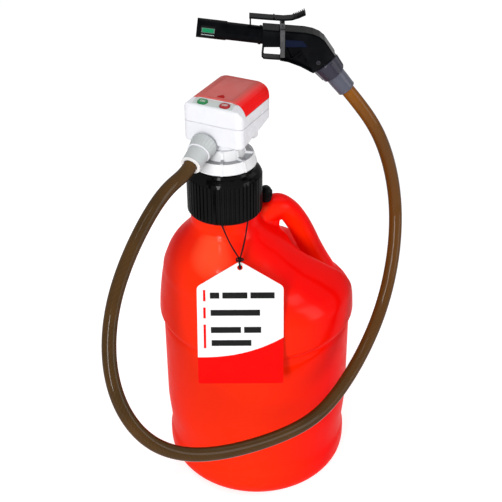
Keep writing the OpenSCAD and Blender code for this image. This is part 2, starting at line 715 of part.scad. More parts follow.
// ---------- Motor and pump ----------
cup_floor = 2.4;
cup_low = chamber_top - motor_l - 7;
seal_r = 4;
shaft_top = cup_low + cup_floor + 10;
strainer_low = jug_wall + strainer_clear;
strainer_h = 45;
tube_low = strainer_low + strainer_h - 10;
impeller_low = tube_low + 2;
tube_bore = tube_r - tube_wall;
module motor_cup() {
    color("gainsboro") in_head() difference() {
        union() {
            translate([0, 0, cup_low]) cylinder(r = motor_r + 2, h = chamber_top - cup_low, $fn = 64);
            translate([0, 0, chamber_top]) cylinder(r = chamber_rim_r - 0.5, h = 2.2, $fn = 96);
        }
        translate([0, 0, cup_low + cup_floor]) cylinder(r = motor_r + 0.15, h = 100, $fn = 64);
        translate([0, 0, cup_low - 1]) cylinder(r = seal_r, h = 100, $fn = 48);
        for (i = [0:3]) rotate([0, 0, 45 + i * 90]) translate([cup_screw_ring, 0, chamber_top - 1])
            cylinder(r = cup_screw_r + 0.1, h = 5, $fn = 24);
    }
}
module cup_screws() {
    color("silver") in_head() for (i = [0:3]) rotate([0, 0, 45 + i * 90])
        translate([cup_screw_ring, 0, chamber_top + 2.2]) rotate([180, 0, 0])
            screw(cup_screw_r, 7.5, cup_screw_r + 1, 1.6);
}
module motor() {
    color("silver") in_head() translate([0, 0, cup_low + cup_floor]) difference() {
        union() {
            cylinder(r = motor_r, h = motor_l, $fn = 64);
            cylinder(r = 5, h = motor_l + 1.5, $fn = 40);
            for (s = [-1, 1]) translate([s * 7.5 - 1.2, -0.25, motor_l - eps]) cube([2.4, 0.5, 3.5]);
        }
        translate([0, 0, -1]) cylinder(r = shaft_r + run_gap, h = 11.3, $fn = 48);
    }
}
module shaft_seal() {
    color("black") in_head() translate([0, 0, cup_low]) difference() {
        cylinder(r = seal_r, h = cup_floor, $fn = 48);
        translate([0, 0, -1]) cylinder(r = shaft_r + run_gap, h = 10, $fn = 48);
    }
}
module drive_shaft() {
    color("silver") in_neck() translate([0, 0, strainer_low + 2.3]) cylinder(r = shaft_r,
        h = shaft_top - strainer_low - 2.3, $fn = 48);
}
module shaft_coupling() {
    color("darkgoldenrod") in_neck() translate([0, 0, tube_top - 17]) difference() {
        cylinder(r = shaft_r + 2, h = 12, $fn = 40);
        translate([0, 0, -1]) cylinder(r = shaft_r, h = 20, $fn = 48);
    }
}
module shaft_guides() {
    guide_t = 4;
    guide_pitch = (tube_top - tube_low - 60) / 3;
    color("lightgray") in_neck() for (i = [0:3]) translate([0, 0, tube_low + 30 + i * guide_pitch])
        difference() {
        intersection() {
            cylinder(r = tube_bore, h = guide_t, $fn = 96);
            union() {
                cylinder(r = shaft_r + 2, h = guide_t, $fn = 40);
                for (a = [0, 120, 240]) rotate([0, 0, a]) translate([0, -0.8, 0])
                    cube([tube_r, 1.6, guide_t]);
            }
        }
        translate([0, 0, -1]) cylinder(r = shaft_r + run_gap, h = 10, $fn = 48);
    }
}
module intake_tube() {
    color("white") in_neck() translate([0, 0, tube_low]) difference() {
        cylinder(r = tube_r, h = tube_top - tube_low, $fn = 96);
        translate([0, 0, -1]) cylinder(r = tube_bore, h = tube_top - tube_low + 2, $fn = 96);
    }
}
module impeller() {
    blade_h = 9;
    color("white") in_neck() translate([0, 0, impeller_low]) difference() {
        union() {
            cylinder(r = shaft_r + 3, h = blade_h, $fn = 48);
            intersection() {
                cylinder(r = tube_bore - 1, h = blade_h, $fn = 96);
                for (i = [0:impeller_blades - 1]) rotate([0, 0, i * 360 / impeller_blades])
                    translate([0, 0, blade_h / 2]) rotate([35, 0, 0]) translate([shaft_r + 1, -0.7, -10])
                        cube([20, 1.4, 20]);
            }
        }
        translate([0, 0, -1]) cylinder(r = shaft_r, h = 20, $fn = 48);
    }
}
module strainer() {
    foot_t = 2;
    color("white") in_neck() translate([0, 0, strainer_low]) difference() {
        union() {
            difference() {
                cylinder(r = tube_r + 1.5, h = strainer_h, $fn = 96);
                translate([0, 0, foot_t]) cylinder(r = tube_bore, h = 100, $fn = 96);
                translate([0, 0, strainer_h - 10]) cylinder(r = tube_r, h = 100, $fn = 96);
                for (i = [0:strainer_slots - 1]) rotate([0, 0, i * 360 / strainer_slots])
                    translate([5, -1.5, 5])
                    cube([30, 3, strainer_h - 20]);
            }
            cylinder(r = shaft_r + 3, h = foot_t + 5, $fn = 40);
        }
        translate([0, 0, foot_t]) cylinder(r = shaft_r + run_gap, h = 20, $fn = 48);
        for (i = [0:5]) rotate([0, 0, i * 60]) translate([10, 0, -1]) cylinder(r = 2,
            h = foot_t + 2, $fn = 24);
    }
}

// ---------- Outlet fitting ----------
collar_gap = 1.5;
collar_tip_r = collar_r - 2.5;
ring_low = spigot_l + 0.1;
ring_t = 1.6;
sleeve_r = collar_r - 3.5;
hose_bore = hose_r + run_gap;
module outlet_collar() {
    color("gainsboro") at_outlet() difference() {
        union() {
            rotate_extrude($fn = 96) polygon([[0, collar_gap], [collar_r - 2.5, collar_gap],
                [collar_r - 0.5, collar_gap + 2.5], [collar_tip_r, collar_l], [0, collar_l]]);
            for (i = [0:collar_ribs - 1]) rotate([0, 0, (i + 0.5) * 360 / collar_ribs]) rotate([90, 0, 0])
                translate([0, 0, -0.6]) linear_extrude(1.2) polygon([[hose_r + 2, collar_gap + 2.5],
                [collar_r, collar_gap + 3.5], [collar_tip_r + 0.5, collar_l - 1],
                    [hose_r + 2, collar_l - 1]]);
        }
        cylinder(r = hose_r + slide_gap, h = 100, $fn = 64);
    }
}
module outlet_ring() {
    color("white") at_outlet() translate([0, 0, ring_low]) difference() {
        cylinder(r = collar_tip_r + 0.6, h = ring_t, $fn = 96);
        translate([0, 0, -1]) cylinder(r = hose_bore, h = 10, $fn = 64);
    }
}
module outlet_sleeve() {
    color("gainsboro") at_outlet() translate([0, 0, ring_low + ring_t]) difference() {
        rotate_extrude($fn = 96) polygon([[0, 0], [sleeve_r, 0], [sleeve_r - 1, sleeve_l - 2],
            [sleeve_r - 0.4, sleeve_l - 1.6],
            [sleeve_r - 0.6, sleeve_l], [0, sleeve_l]]);
        translate([0, 0, -1]) cylinder(r = hose_bore, h = 100, $fn = 64);
    }
}

// ---------- Nozzle frames ----------
nozzle_x = 9;
nozzle_y = -20;
hose_end_angle = 51;
hose_seat = [74.2, -34];        // centre of the body's rear opening, from the spout's root
module at_nozzle() {
    translate([nozzle_x, nozzle_y, nozzle_z]) rotate([90, 0, 0]) children();
}
module at_spout() {
    translate([nozzle_x, nozzle_y, nozzle_z]) rotate([0, spout_tilt - 90, 0]) children();
}
module at_hose_end() {
    translate([nozzle_x + hose_seat[0], nozzle_y, nozzle_z + hose_seat[1]])
        rotate([0, 90 + hose_end_angle, 0]) children();
}

// ---------- Hose ----------
// The route between the two straight ends, as points that draw a smooth curve towards themselves.
hose_route = [[-115, -135, 505], [-170, -215, 420], [-175, -270, 330], [-135, -295, 255], [-65, -265, 205],
    [45, -195, 185], [100, -150, 195], [160, -70, 255], [185, -30, 340], [190, 20, 415], [161, -15, 520]];
hose_sides = 12;
collar_hose_l = 20;
hose_stop = collar_hose_l - 3;
hose_sleeve_l = 25;
outlet_place = [neck_x + outlet_x * cos(head_yaw) - head_front * sin(head_yaw),
    neck_y - outlet_x * sin(head_yaw) - head_front * cos(head_yaw), head_z + outlet_h];
outlet_way = [-cos(outlet_droop) * sin(head_yaw), -cos(outlet_droop) * cos(head_yaw), -sin(outlet_droop)];
nozzle_way = [cos(hose_end_angle), 0, -sin(hose_end_angle)];
hose_start = outlet_place + outlet_way * spigot_l;
hose_end = [nozzle_x + hose_seat[0], nozzle_y, nozzle_z + hose_seat[1]] + nozzle_way * hose_stop;
hose_points = concat([for (k = [-1:2]) hose_start + outlet_way * k * sleeve_l], hose_route,
    [for (k = [2:-1:-1]) hose_end + nozzle_way * k * (hose_sleeve_l + 3)]);
function on_curve(p, k, t) = (pow(1 - t, 3) * p[k] + (3 * pow(t, 3) - 6 * t * t + 4) * p[k + 1]
    + (-3 * pow(t, 3) + 3 * t * t + 3 * t + 1) * p[k + 2] + pow(t, 3) * p[k + 3]) / 6;
hose_line = concat([for (k = [0:len(hose_points) - 4], t = [0, 0.5]) on_curve(hose_points, k, t)],
    [hose_end]);
function square_to(v, d) = let (w = v - (v * d) * d) w / norm(w);
// Side directions of the rings, each carried over from the one before it.
function carried(dirs, k, v) = k >= len(dirs) ? [] : let (w = square_to(v, dirs[k]))
    concat([w], carried(dirs, k + 1, w));
hose_dirs = [for (k = [0:len(hose_line) - 1]) along(hose_line, k)];
hose_across = carried(hose_dirs, 0, [0, 0, 1]);
function hose_ring(k, r) = [for (i = [0:hose_sides - 1]) let (a = i * 360 / hose_sides)
    hose_line[k] + r * (cos(a) * hose_across[k] + sin(a) * cross(hose_dirs[k], hose_across[k]))];
module hose() {
    n = hose_sides;
    last = len(hose_line) - 1;
    rings = concat([for (k = [0:last]) hose_ring(k, hose_r)],
        [for (k = [last:-1:0]) hose_ring(k, hose_r - hose_wall)]);
    m = len(rings);
    color("saddlebrown") polyhedron(points = [for (r = rings) each r],
        faces = [for (k = [0:m - 1], i = [0:n - 1], h = [0, 1])
        let (a = k * n + i, b = (k + 1) % m * n + i, c = k * n + (i + 1) % n,
            d = (k + 1) % m * n + (i + 1) % n)
        h == 0 ? [a, b, c] : [c, b, d]], convexity = 10);
}

// ---------- Nozzle ----------
// Outlines are drawn from the spout's root, X towards the hose and Y up.
body_outline = [[0, -11], [0, 11.1], [50, 6.8], [60, 4.6], [68, 1], [74, -4], [87.2, -23.5], [61.2, -44.5],
    [50, -22], [44, -13.5], [40, -11.4]];
web_outline = [[20.9, -27], [22, -11], [41, -11], [44.5, -13], [50.5, -21.5], [61.5, -43.5], [46, -35.3]];
function flat(v) = v / norm(v);
// Moves each corner of a closed outline inwards, for a clockwise outline.
function drawn_in(p, d) = let (n = len(p)) [for (i = [0:n - 1])
    let (u = flat(p[i] - p[(i + n - 1) % n]), v = flat(p[(i + 1) % n] - p[i]), s = [u[1], -u[0]]
        + [v[1], -v[0]])
    p[i] + s * d * 2 / (s * s)];
// A bent strip along a line of points, with its thickness to both sides.
function strip(p, t) = let (n = len(p),
    side = [for (i = [0:n - 1]) let (u = flat(p[max(1, i)] - p[max(1, i) - 1]),
        v = flat(p[min(n - 1, i + 1)] - p[min(n - 2, i)]), s = [-u[1], u[0]] + [-v[1], v[0]])
            s * 2 / (s * s)])
    concat([for (i = [0:n - 1]) p[i] + side[i] * t / 2], [for (i = [n - 1:-1:0]) p[i] - side[i] * t / 2]);
module slab(t, mid = 0) {
    translate([0, 0, mid - t / 2]) linear_extrude(t) children();
}
window_outline = [[27, -10.5], [27, -1.5], [48, -2.8], [53.5, -10.8]];
nozzle_screw_spot = [66.6, -30];
web_t = 11;
spout_tip_r = spout_r + 0.8;

module nozzle_solid() {
    at_nozzle() {
        slab(nozzle_w) polygon(drawn_in(body_outline, 1.2));
        slab(nozzle_w - 4) polygon(body_outline);
        slab(web_t) polygon(web_outline);
        // ribs on the web, lip under it and the band before the window
        slab(nozzle_w - 5) polygon(strip([[27, -11], [33.5, -27]], 1.6));
        slab(nozzle_w - 5) polygon(strip([[33.5, -27], [50, -15.5]], 1.6));
        slab(nozzle_w - 5) polygon(strip([[43, -27], [47, -23], [50.5, -15]], 1.6));
        slab(nozzle_w - 5) polygon(strip([[51.5, -32], [54, -26], [52.5, -17.5]], 1.6));
        slab(nozzle_w - 5) polygon(strip([[21, -27.6], [31, -29.6], [46, -35.6], [61, -44]], 1.8));
    }
}
module nozzle_hollows() {
    at_nozzle() {
        slab(nozzle_w - 2 * nozzle_wall) polygon(drawn_in(body_outline, 2.2 + nozzle_wall));
        slab(nozzle_w + 1) polygon(window_outline);
        translate([nozzle_screw_spot[0], nozzle_screw_spot[1], -nozzle_w]) cylinder(r = screw_r,
            h = nozzle_w * 2, $fn = 32);
    }
    at_spout() translate([0, 0, -22]) cylinder(r = spout_r, h = 40, $fn = 64);
    at_hose_end() translate([0, 0, -6.5]) cylinder(r = plug_r + 0.1, h = 20, $fn = 64);
}
// Keeps one side of the nozzle's middle plane: -1 is the front, +1 the rear.
module half(side) {
    intersection() {
        children();
        translate([nozzle_x - beyond / 4, nozzle_y + (side < 0 ? -beyond / 4 : 0), nozzle_z - beyond / 2])
            cube([beyond, beyond / 4, beyond]);
    }
}
module nozzle_half(side) {
    color("black") half(side) difference() {
        nozzle_solid();
        nozzle_hollows();
    }
}
module nozzle_front_shell() {
    nozzle_half(-1);
}
module nozzle_rear_shell() {
    nozzle_half(1);
}
module nozzle_window() {
    color("midnightblue") at_nozzle() slab(nozzle_w - 0.6) polygon(window_outline);
}
module nozzle_screw() {
    color("silver") at_nozzle() translate([nozzle_screw_spot[0], nozzle_screw_spot[1], nozzle_w / 2])
        rotate([180, 0, 0])
        screw(screw_r, nozzle_w - 4, 2.7, 1.2);
}
module rim_hook() {
    color("black") at_nozzle() slab(14) polygon(strip([[0.9, -11.3], [-0.5, -24.5], [1.5, -26.7],
        [20.9, -28.2]], 2));
}
module spout() {
    color("black") at_spout() difference() {
        union() {
            translate([0, 0, -20]) cylinder(r = spout_r, h = 20 + spout_l, $fn = 64);
            translate([0, 0, 1.8]) cylinder(r = spout_r + 0.9, h = 3, $fn = 64);
        }
        translate([0, 0, -30]) cylinder(r = spout_r - spout_wall, h = 200, $fn = 64);
    }
}
label_t = 0.3;
label_l = 17;
label_edge = 0.1;         // gap round the label in its seat
module label_band(gap, out) {
    turn = 35 + gap * 5;
    translate([0, 0, spout_l - label_l - 5 - gap]) rotate([0, 0, 270 - turn])
        rotate_extrude(angle = 2 * turn, $fn = 96)
        translate([spout_tip_r - label_t - gap, 0]) square([label_t + gap + out, label_l + 2 * gap]);
}
module spout_tip() {
    tip_l = spout_l * 0.45;
    color("black") at_spout() difference() {
        translate([0, 0, spout_l - tip_l]) cylinder(r = spout_tip_r, h = tip_l, $fn = 96);
        cylinder(r = spout_r, h = 200, $fn = 64);
        label_band(label_edge, 1);
    }
}
module spout_label() {
    color("seagreen") at_spout() label_band(0, 0);
}
module sensor_tube() {
    sensor_r = 2;
    color("black") at_spout() translate([sensor_r + spout_wall - spout_r, 0, -14]) difference() {
        cylinder(r = sensor_r, h = spout_l + 12, $fn = 32);
        translate([0, 0, -1]) cylinder(r = sensor_r - 0.8, h = 200, $fn = 32);
    }
}
plug_r = 11;
barb_r = hose_r - hose_wall - 0.4;
module hose_barb() {
    color("dimgray") at_hose_end() difference() {
        union() {
            translate([0, 0, -6]) cylinder(r = plug_r, h = 6 + hose_stop, $fn = 64);
            cylinder(r = barb_r, h = hose_stop + 20, $fn = 48);
        }
        translate([0, 0, -10]) cylinder(r = barb_r - 1.5, h = 100, $fn = 48);
    }
}
module hose_collar() {
    color("dimgray") at_hose_end() difference() {
        union() {
            rotate_extrude($fn = 96) polygon([[0, fit_gap], [16.2, fit_gap], [16.7, 1.5],
                [14.8, collar_hose_l - 0.5],
                [14.2, collar_hose_l], [0, collar_hose_l]]);
            for (i = [0:5]) rotate([0, 0, i * 60]) rotate([90, 0, 0]) translate([0, 0, -2])
                linear_extrude(4)
                polygon([[12, 3], [17.4, 3], [15.7, collar_hose_l - 2], [12, collar_hose_l - 2]]);
        }
        translate([0, 0, -1]) cylinder(r = plug_r + slide_gap, h = 1 + hose_stop + fit_gap, $fn = 64);
        cylinder(r = hose_r + slide_gap, h = 100, $fn = 64);
    }
}
module hose_sleeve() {
    color("dimgray") at_hose_end() translate([0, 0, collar_hose_l + fit_gap]) difference() {
        rotate_extrude($fn = 96) polygon([[0, 0], [12.2, 0], [12.2, hose_sleeve_l * 0.4],
            [11.6, hose_sleeve_l - 2],
            [11.9, hose_sleeve_l - 1], [11.3, hose_sleeve_l], [0, hose_sleeve_l]]);
        translate([0, 0, -1]) cylinder(r = hose_bore, h = 100, $fn = 64);
    }
}

// ---------- Clip on the nozzle ----------
clip_pivot = [23.5, 14.5];
clip_pin_r = 1.25;
ear_t = 1.8;
module clip_lever() {
    top = clip_h - clip_t / 2;
    color("black") at_nozzle() difference() {
        union() {
            slab(clip_w) polygon(strip([[-15.9, top + 1.2], [4, top - 0.6], [24, top - 2.2],
                [34, top - 1.6],
                [42, top + 0.8], [50.5, top + 4.6]], clip_t));
            slab(clip_w) polygon(strip([[-14.6, top + 0.6], [-14.6, 13.8]], clip_t - 0.4));
            slab(clip_w - 4) polygon(strip([[24.8, top - 2.4], [23.6, 15]], clip_t));
            translate([clip_pivot[0], clip_pivot[1], -clip_w / 2]) cylinder(r = 3, h = clip_w, $fn = 40);
            slab(clip_w - 3) translate([12.6, top - 1.2]) square([1.6, 2.4]);
            for (i = [0:6]) slab(clip_w)
                translate([36 + i * 2.1, top - 0.4 + i * i * 0.05 + i * 0.62]) square([1, 2]);
        }
        translate([clip_pivot[0], clip_pivot[1], -50]) cylinder(r = clip_pin_r + run_gap,
            h = 100, $fn = 40);
    }
}
module clip_pin() {
    pin_l = clip_w + 2 * (fit_gap + ear_t);
    color("silver") at_nozzle() translate([clip_pivot[0], clip_pivot[1], -pin_l / 2])
        cylinder(r = clip_pin_r, h = pin_l, $fn = 40);
}
module clip_strap() {
    strap_w = 5.5;
    strap_t = 1.5;
    color("black") at_nozzle() difference() {
        union() {
            for (s = [-1, 1]) {
                translate([clip_pivot[0] - strap_w / 2, -23, s * (nozzle_w + strap_t) / 2 - strap_t / 2])
                    cube([strap_w, 34, strap_t]);
                translate([clip_pivot[0] - 3, 9.5, s * (clip_w / 2 + fit_gap + ear_t / 2) - ear_t / 2])
                    cube([6, 5, ear_t]);
                translate([clip_pivot[0], clip_pivot[1], s * (clip_w / 2 + fit_gap + ear_t / 2) - ear_t / 2])
                    cylinder(r = 3, h = ear_t, $fn = 40);
            }
            translate([clip_pivot[0] - strap_w / 2, 9.5, -nozzle_w / 2 - strap_t])
                cube([strap_w, 1.5, nozzle_w + 2 * strap_t]);
        }
        translate([clip_pivot[0], clip_pivot[1], -50]) cylinder(r = clip_pin_r, h = 100, $fn = 40);
    }
}

// ---------- Tag ----------
tag_x = -20.5;
// From the widest band to the card's plane, so that the card just clears the shoulder.
tag_clear = fit_gap + 0.1 + max([for (z = shoulder_heights)
    skin_r(z) - neck_y * skin_shift(z) - jug_r + (z - band_z) * tan(tag_lean)]);
card_low = -29;           // below the widest band, along the card
card_top = card_low + tag_h;
card_shoulder = card_top - 32;
hole_h = card_top - 7;
string_r = 0.75;
string_z = adapter_low - 4;
string_loop_r = neck_r + string_r + 0.2;
string_ring_r = 6;        // small loop through the card's hole
knot_h = hole_h - 1 + 2 * string_ring_r;
strand_az = [-94, -53];   // where the two strands leave the neck

module at_tag() {
    translate([tag_x, -jug_r - tag_clear, band_z]) rotate([-tag_lean, 0, 0]) children();
}
module tag_card() {
    color("white") at_tag() rotate([90, 0, 0]) linear_extrude(tag_t) difference() {
        polygon([[-tag_w / 2, card_low], [tag_w / 2, card_low], [tag_w / 2, card_shoulder],
            [12, card_top - 6],
            [8, card_top - 2], [0, card_top], [-8, card_top - 2], [-12, card_top - 6],
                [-tag_w / 2, card_shoulder]]);
        translate([0, hole_h]) circle(r = tag_hole_r, $fn = 48);
    }
}
module rod(a, b, r) {
    d = b - a;
    translate(a) rotate([0, acos(d[2] / norm(d)), atan2(d[1], d[0])]) cylinder(r = r,
        h = norm(d), $fn = 24);
}
module hoop(r, thick, open = 0) {
    rotate([0, 0, open / 2]) rotate_extrude(angle = 360 - open, $fn = 96)
        translate([r, 0]) circle(r = thick, $fn = 24);
}
module tag_string() {
    knot_r = 2;
    touch = 0.02;
    knot = [tag_x, -jug_r - tag_clear - tag_t / 2 + knot_h * sin(tag_lean), band_z + knot_h * cos(tag_lean)];
    color("black") {
        translate([neck_x, neck_y, string_z]) hoop(string_loop_r, string_r);
        for (a = strand_az) {
            top = [neck_x + string_loop_r * cos(a), neck_y + string_loop_r * sin(a), string_z];
            way = (top - knot) / norm(top - knot);
            rod(knot + way * (knot_r + touch), top - way * (string_r + touch), string_r);
        }
        translate(knot) sphere(r = knot_r, $fn = 32);
        at_tag() translate([0, -tag_t / 2, knot_h - string_ring_r]) rotate([0, -90, 0])
            hoop(string_ring_r, string_r, 42);
    }
}

jug_shell();
vent_seat();
vent_cap();
adapter_cap();
adapter_gasket();
cap_nut();
nut_washer();
lower_housing();
upper_housing();
housing_screws();
battery_cover();
cover_plate();
cover_latch();
control_label();
on_button();
off_button();
switch_board();
tact_switch(-1);  // on_switch
tact_switch(1);  // off_switch
battery_tray();
battery(0);  // battery_1
battery(1);  // battery_2
battery(2);  // battery_3
battery(3);  // battery_4
battery_contacts();
motor_cup();
cup_screws();
motor();
shaft_seal();
drive_shaft();
shaft_coupling();
shaft_guides();
intake_tube();
impeller();
strainer();
outlet_collar();
outlet_sleeve();
outlet_ring();
hose();
hose_barb();
hose_collar();
hose_sleeve();
nozzle_front_shell();
nozzle_rear_shell();
nozzle_window();
nozzle_screw();
rim_hook();
spout();
spout_tip();
spout_label();
sensor_tube();
clip_lever();
clip_pin();
clip_strap();
tag_string();
tag_card();
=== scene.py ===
import math

import bpy
import numpy as np
from mathutils import Matrix, Vector


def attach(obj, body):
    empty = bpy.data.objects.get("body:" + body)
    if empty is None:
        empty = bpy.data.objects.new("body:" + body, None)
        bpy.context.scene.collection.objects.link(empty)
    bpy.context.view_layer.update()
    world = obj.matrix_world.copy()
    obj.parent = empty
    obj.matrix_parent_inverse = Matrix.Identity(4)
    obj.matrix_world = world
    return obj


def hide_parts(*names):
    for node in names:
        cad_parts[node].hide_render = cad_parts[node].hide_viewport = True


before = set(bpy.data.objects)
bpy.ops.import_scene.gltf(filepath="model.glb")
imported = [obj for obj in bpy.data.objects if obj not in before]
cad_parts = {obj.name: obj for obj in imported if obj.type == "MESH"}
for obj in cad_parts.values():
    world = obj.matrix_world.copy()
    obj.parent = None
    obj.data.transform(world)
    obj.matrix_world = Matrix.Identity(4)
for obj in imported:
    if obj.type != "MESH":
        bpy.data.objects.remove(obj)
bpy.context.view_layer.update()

mm = 0.001
print("stage: frame loaded")


# place in metres, pitch in degrees, yaw and roll in radians, lens in millimetres
camera = {"place": (0.0, -1.250, 1.113), "pitch": 31.657, "yaw": -0.0056, "roll": -0.0076, "lens": 77.25}


def addCamera():
    # forward from yaw and pitch, then right and up turned by the roll round it
    yaw, pitch, roll = camera["yaw"], math.radians(camera["pitch"]), camera["roll"]
    forward = Vector((math.sin(yaw) * math.cos(pitch), math.cos(yaw) * math.cos(pitch), -math.sin(pitch)))
    level = Vector((math.cos(yaw), -math.sin(yaw), 0))
    above = level.cross(forward)
    right = level * math.cos(roll) + above * math.sin(roll)
    up = above * math.cos(roll) - level * math.sin(roll)
    data = bpy.data.cameras.new("studioCamera")
    data.lens = camera["lens"]
    data.sensor_width = 36
    data.sensor_fit = "HORIZONTAL"
    eye = bpy.data.objects.new("studioCamera", data)
    turn = Matrix((right, up, -forward)).transposed().to_4x4()
    eye.matrix_world = Matrix.Translation(camera["place"]) @ turn
    bpy.context.scene.collection.objects.link(eye)
    bpy.context.scene.camera = eye


addCamera()


def addMesh(name, points, faces, smooth=True):
    mesh = bpy.data.meshes.new(name)
    mesh.from_pydata(np.asarray(points).tolist(), [], faces)
    mesh.update()
    if smooth:
        mesh.polygons.foreach_set("use_smooth", np.ones(len(mesh.polygons), bool))
    piece = bpy.data.objects.new(name, mesh)
    bpy.context.scene.collection.objects.link(piece)
    return piece


def ringFaces(rings, closedRows=False, first=0):
    # a quad between each pair of neighbours, numbered from the first point; the columns run round and close,
    # and the rows close or end in flat caps
    rows, columns = rings.shape[:2]
    k, i = np.meshgrid(np.arange(rows if closedRows else rows - 1), np.arange(columns), indexing="ij")
    k, i = k.ravel(), i.ravel()
    up, over = (k + 1) % rows, (i + 1) % columns
    quads = np.stack([k * columns + i, k * columns + over, up * columns + over, up * columns + i], 1)
    faces = (quads + first).tolist()
    if not closedRows:
        last = first + (rows - 1) * columns
        faces.append(list(range(first, first + columns))[::-1])
        faces.append(list(range(last, last + columns)))
    return faces


def addRings(name, rings, closedRows=False):
    # rings is rows by columns by xyz; each ring runs anticlockwise seen from the last ring
    return addMesh(name, rings.reshape(-1, 3), ringFaces(rings, closedRows))


def meshPoints(piece):
    points = np.zeros(len(piece.data.vertices) * 3, np.float32)
    piece.data.vertices.foreach_get("co", points)
    return points.reshape(-1, 3)


def cornerVertices(piece):
    # the vertex that each face corner uses
    corner = np.zeros(len(piece.data.loops), np.int32)
    piece.data.loops.foreach_get("vertex_index", corner)
    return corner


def setMap(piece, uv):
    layer = piece.data.uv_layers.new(name="UVMap")
    layer.data.foreach_set("uv", uv.astype(np.float32).ravel())


def addTubeMap(piece, rows, columns, length, girth):
    # UV in metres: U runs along the tube, V runs round it
    corner = cornerVertices(piece)
    k, i = (corner // columns) % rows, corner % columns
    setMap(piece, np.stack([k / (rows - 1) * length, i / columns * girth], 1))


def smoothRead(x, places, values):
    # cubic through the given points; each slope is the mean of its two neighbours' slopes, and flat at a peak
    x = np.asarray(x, float)
    p, v = np.asarray(places, float), np.asarray(values, float)
    rise = np.diff(v) / np.diff(p)
    slope = np.concatenate([[rise[0]], (rise[1:] + rise[:-1]) / 2, [rise[-1]]])
    slope[1:-1] = np.where(rise[1:] * rise[:-1] <= 0, 0, slope[1:-1])
    k = np.clip(np.searchsorted(p, x, side="right") - 1, 0, len(p) - 2)
    h = p[k + 1] - p[k]
    t = np.clip((x - p[k]) / h, 0, 1)
    a, b = 2 * t ** 3 - 3 * t ** 2 + 1, t ** 3 - 2 * t ** 2 + t
    return a * v[k] + b * h * slope[k] + (1 - a) * v[k + 1] + (t ** 3 - t ** 2) * h * slope[k + 1]


def ease(t):
    # half a cosine wave from 0 to 1
    return (1 - np.cos(np.pi * np.clip(t, 0, 1))) / 2


def splineThrough(points, steps):
    # smooth curve through the points, read at equal steps from point to point
    points = np.asarray(points, float)
    at = np.linspace(0, len(points) - 1, steps)
    return np.stack([smoothRead(at, np.arange(len(points)), points[:, k]) for k in range(points.shape[1])], 1)


def drawnCurve(points, perPoint):
    # uniform cubic B-spline: each stretch blends four neighbours with the weights of the cubic basis
    p = np.asarray(points, float)
    t = np.linspace(0, 1, perPoint, endpoint=False)[:, None]
    weights = [(1 - t) ** 3, 3 * t ** 3 - 6 * t ** 2 + 4, -3 * t ** 3 + 3 * t ** 2 + 3 * t + 1, t ** 3]
    stretches = [sum(w * p[k + j] for j, w in enumerate(weights)) / 6 for k in range(len(p) - 3)]
    return np.concatenate(stretches + [(p[-3] + 4 * p[-2] + p[-1])[None] / 6])


def lineLength(line):
    return float(np.linalg.norm(np.diff(line, axis=0), axis=1).sum())


def carriedFrames(line):
    # along is the line's way; across is carried from point to point, each time made square to the way
    along = np.gradient(line, axis=0)
    along /= np.linalg.norm(along, axis=1)[:, None]
    across = np.zeros_like(along)
    side = np.array([0.0, 0.0, 1.0]) if abs(along[0][2]) < 0.9 else np.array([1.0, 0.0, 0.0])
    for k in range(len(line)):
        side = side - side.dot(along[k]) * along[k]
        side /= np.linalg.norm(side)
        across[k] = side
    return along, across, np.cross(along, across)


def tubeRings(line, radius, sides):
    # circles of the given radius, square to the line
    along, across, other = carriedFrames(line)
    a = np.linspace(0, 2 * np.pi, sides, endpoint=False)[None, :, None]
    return line[:, None] + radius * (np.cos(a) * across[:, None] + np.sin(a) * other[:, None])


def place(piece, matrix):
    # puts a matrix into the mesh, so that the object stays at the origin
    piece.data.transform(matrix)
    return piece


def finishMesh(piece, *modifiers):
    # applies the modifiers given as (type, settings)
    for kind, settings in modifiers:
        modifier = piece.modifiers.new(kind.lower(), kind)
        for key, value in settings.items():
            setattr(modifier, key, value)
    bpy.context.view_layer.update()
    made = bpy.data.meshes.new_from_object(piece.evaluated_get(bpy.context.evaluated_depsgraph_get()))
    piece.modifiers.clear()
    piece.data = made
    made.polygons.foreach_set("use_smooth", np.ones(len(made.polygons), bool))
    return piece


# places in millimetres and turns in degrees; the control face's slope and the outlet are in the head's frame
handle = {"turn": 30, "neckOffset": 46.5}
head = {"height": 528, "turn": -26.5, "slope": (0, -17.5, 53), "fall": 17, "slopeMiddle": (0, -6.2, 0),
        "outlet": (-8, -31, 3), "outletTurn": 110.5}
nozzle = {"spout": (9, -20, 657.5), "spoutTurn": -82.7, "hoseEnd": (83.2, -20, 623.5), "hoseTurn": 141}
hanging = {"spot": (-20.5, -142.63, 262), "lean": -16.5}


def frameAt(spot, turn=0, axis="Z"):
    return Matrix.Translation([length * mm for length in spot]) @ Matrix.Rotation(math.radians(turn), 4, axis)


handleTurn = math.radians(handle["turn"])
neckSpot = -handle["neckOffset"] * np.array([math.cos(handleTurn), math.sin(handleTurn)])
inHead = frameAt((*neckSpot, head["height"]), head["turn"])
inSlope = inHead @ frameAt(head["slope"], head["fall"], "X") @ frameAt(head["slopeMiddle"])
atOutlet = inHead @ frameAt(head["outlet"], head["outletTurn"], "X")
atSpout = frameAt(nozzle["spout"], nozzle["spoutTurn"], "Y")
atHoseEnd = frameAt(nozzle["hoseEnd"], nozzle["hoseTurn"], "Y")
atTag = frameAt(hanging["spot"], hanging["lean"], "X")


def startMaterial(name):
    material = bpy.data.materials.new(name)
    material.use_nodes = True
    tree = material.node_tree
    return material, tree, tree.nodes["Principled BSDF"]


def addNode(tree, kind, inputs=None, **settings):
    node = tree.nodes.new("ShaderNode" + kind)
    for key, value in settings.items():
        setattr(node, key, value)
    for key, value in (inputs or {}).items():
        socket = node.inputs[key]
        if hasattr(value, "is_output"):
            tree.links.new(value, socket)
        else:
            socket.default_value = value
    return node


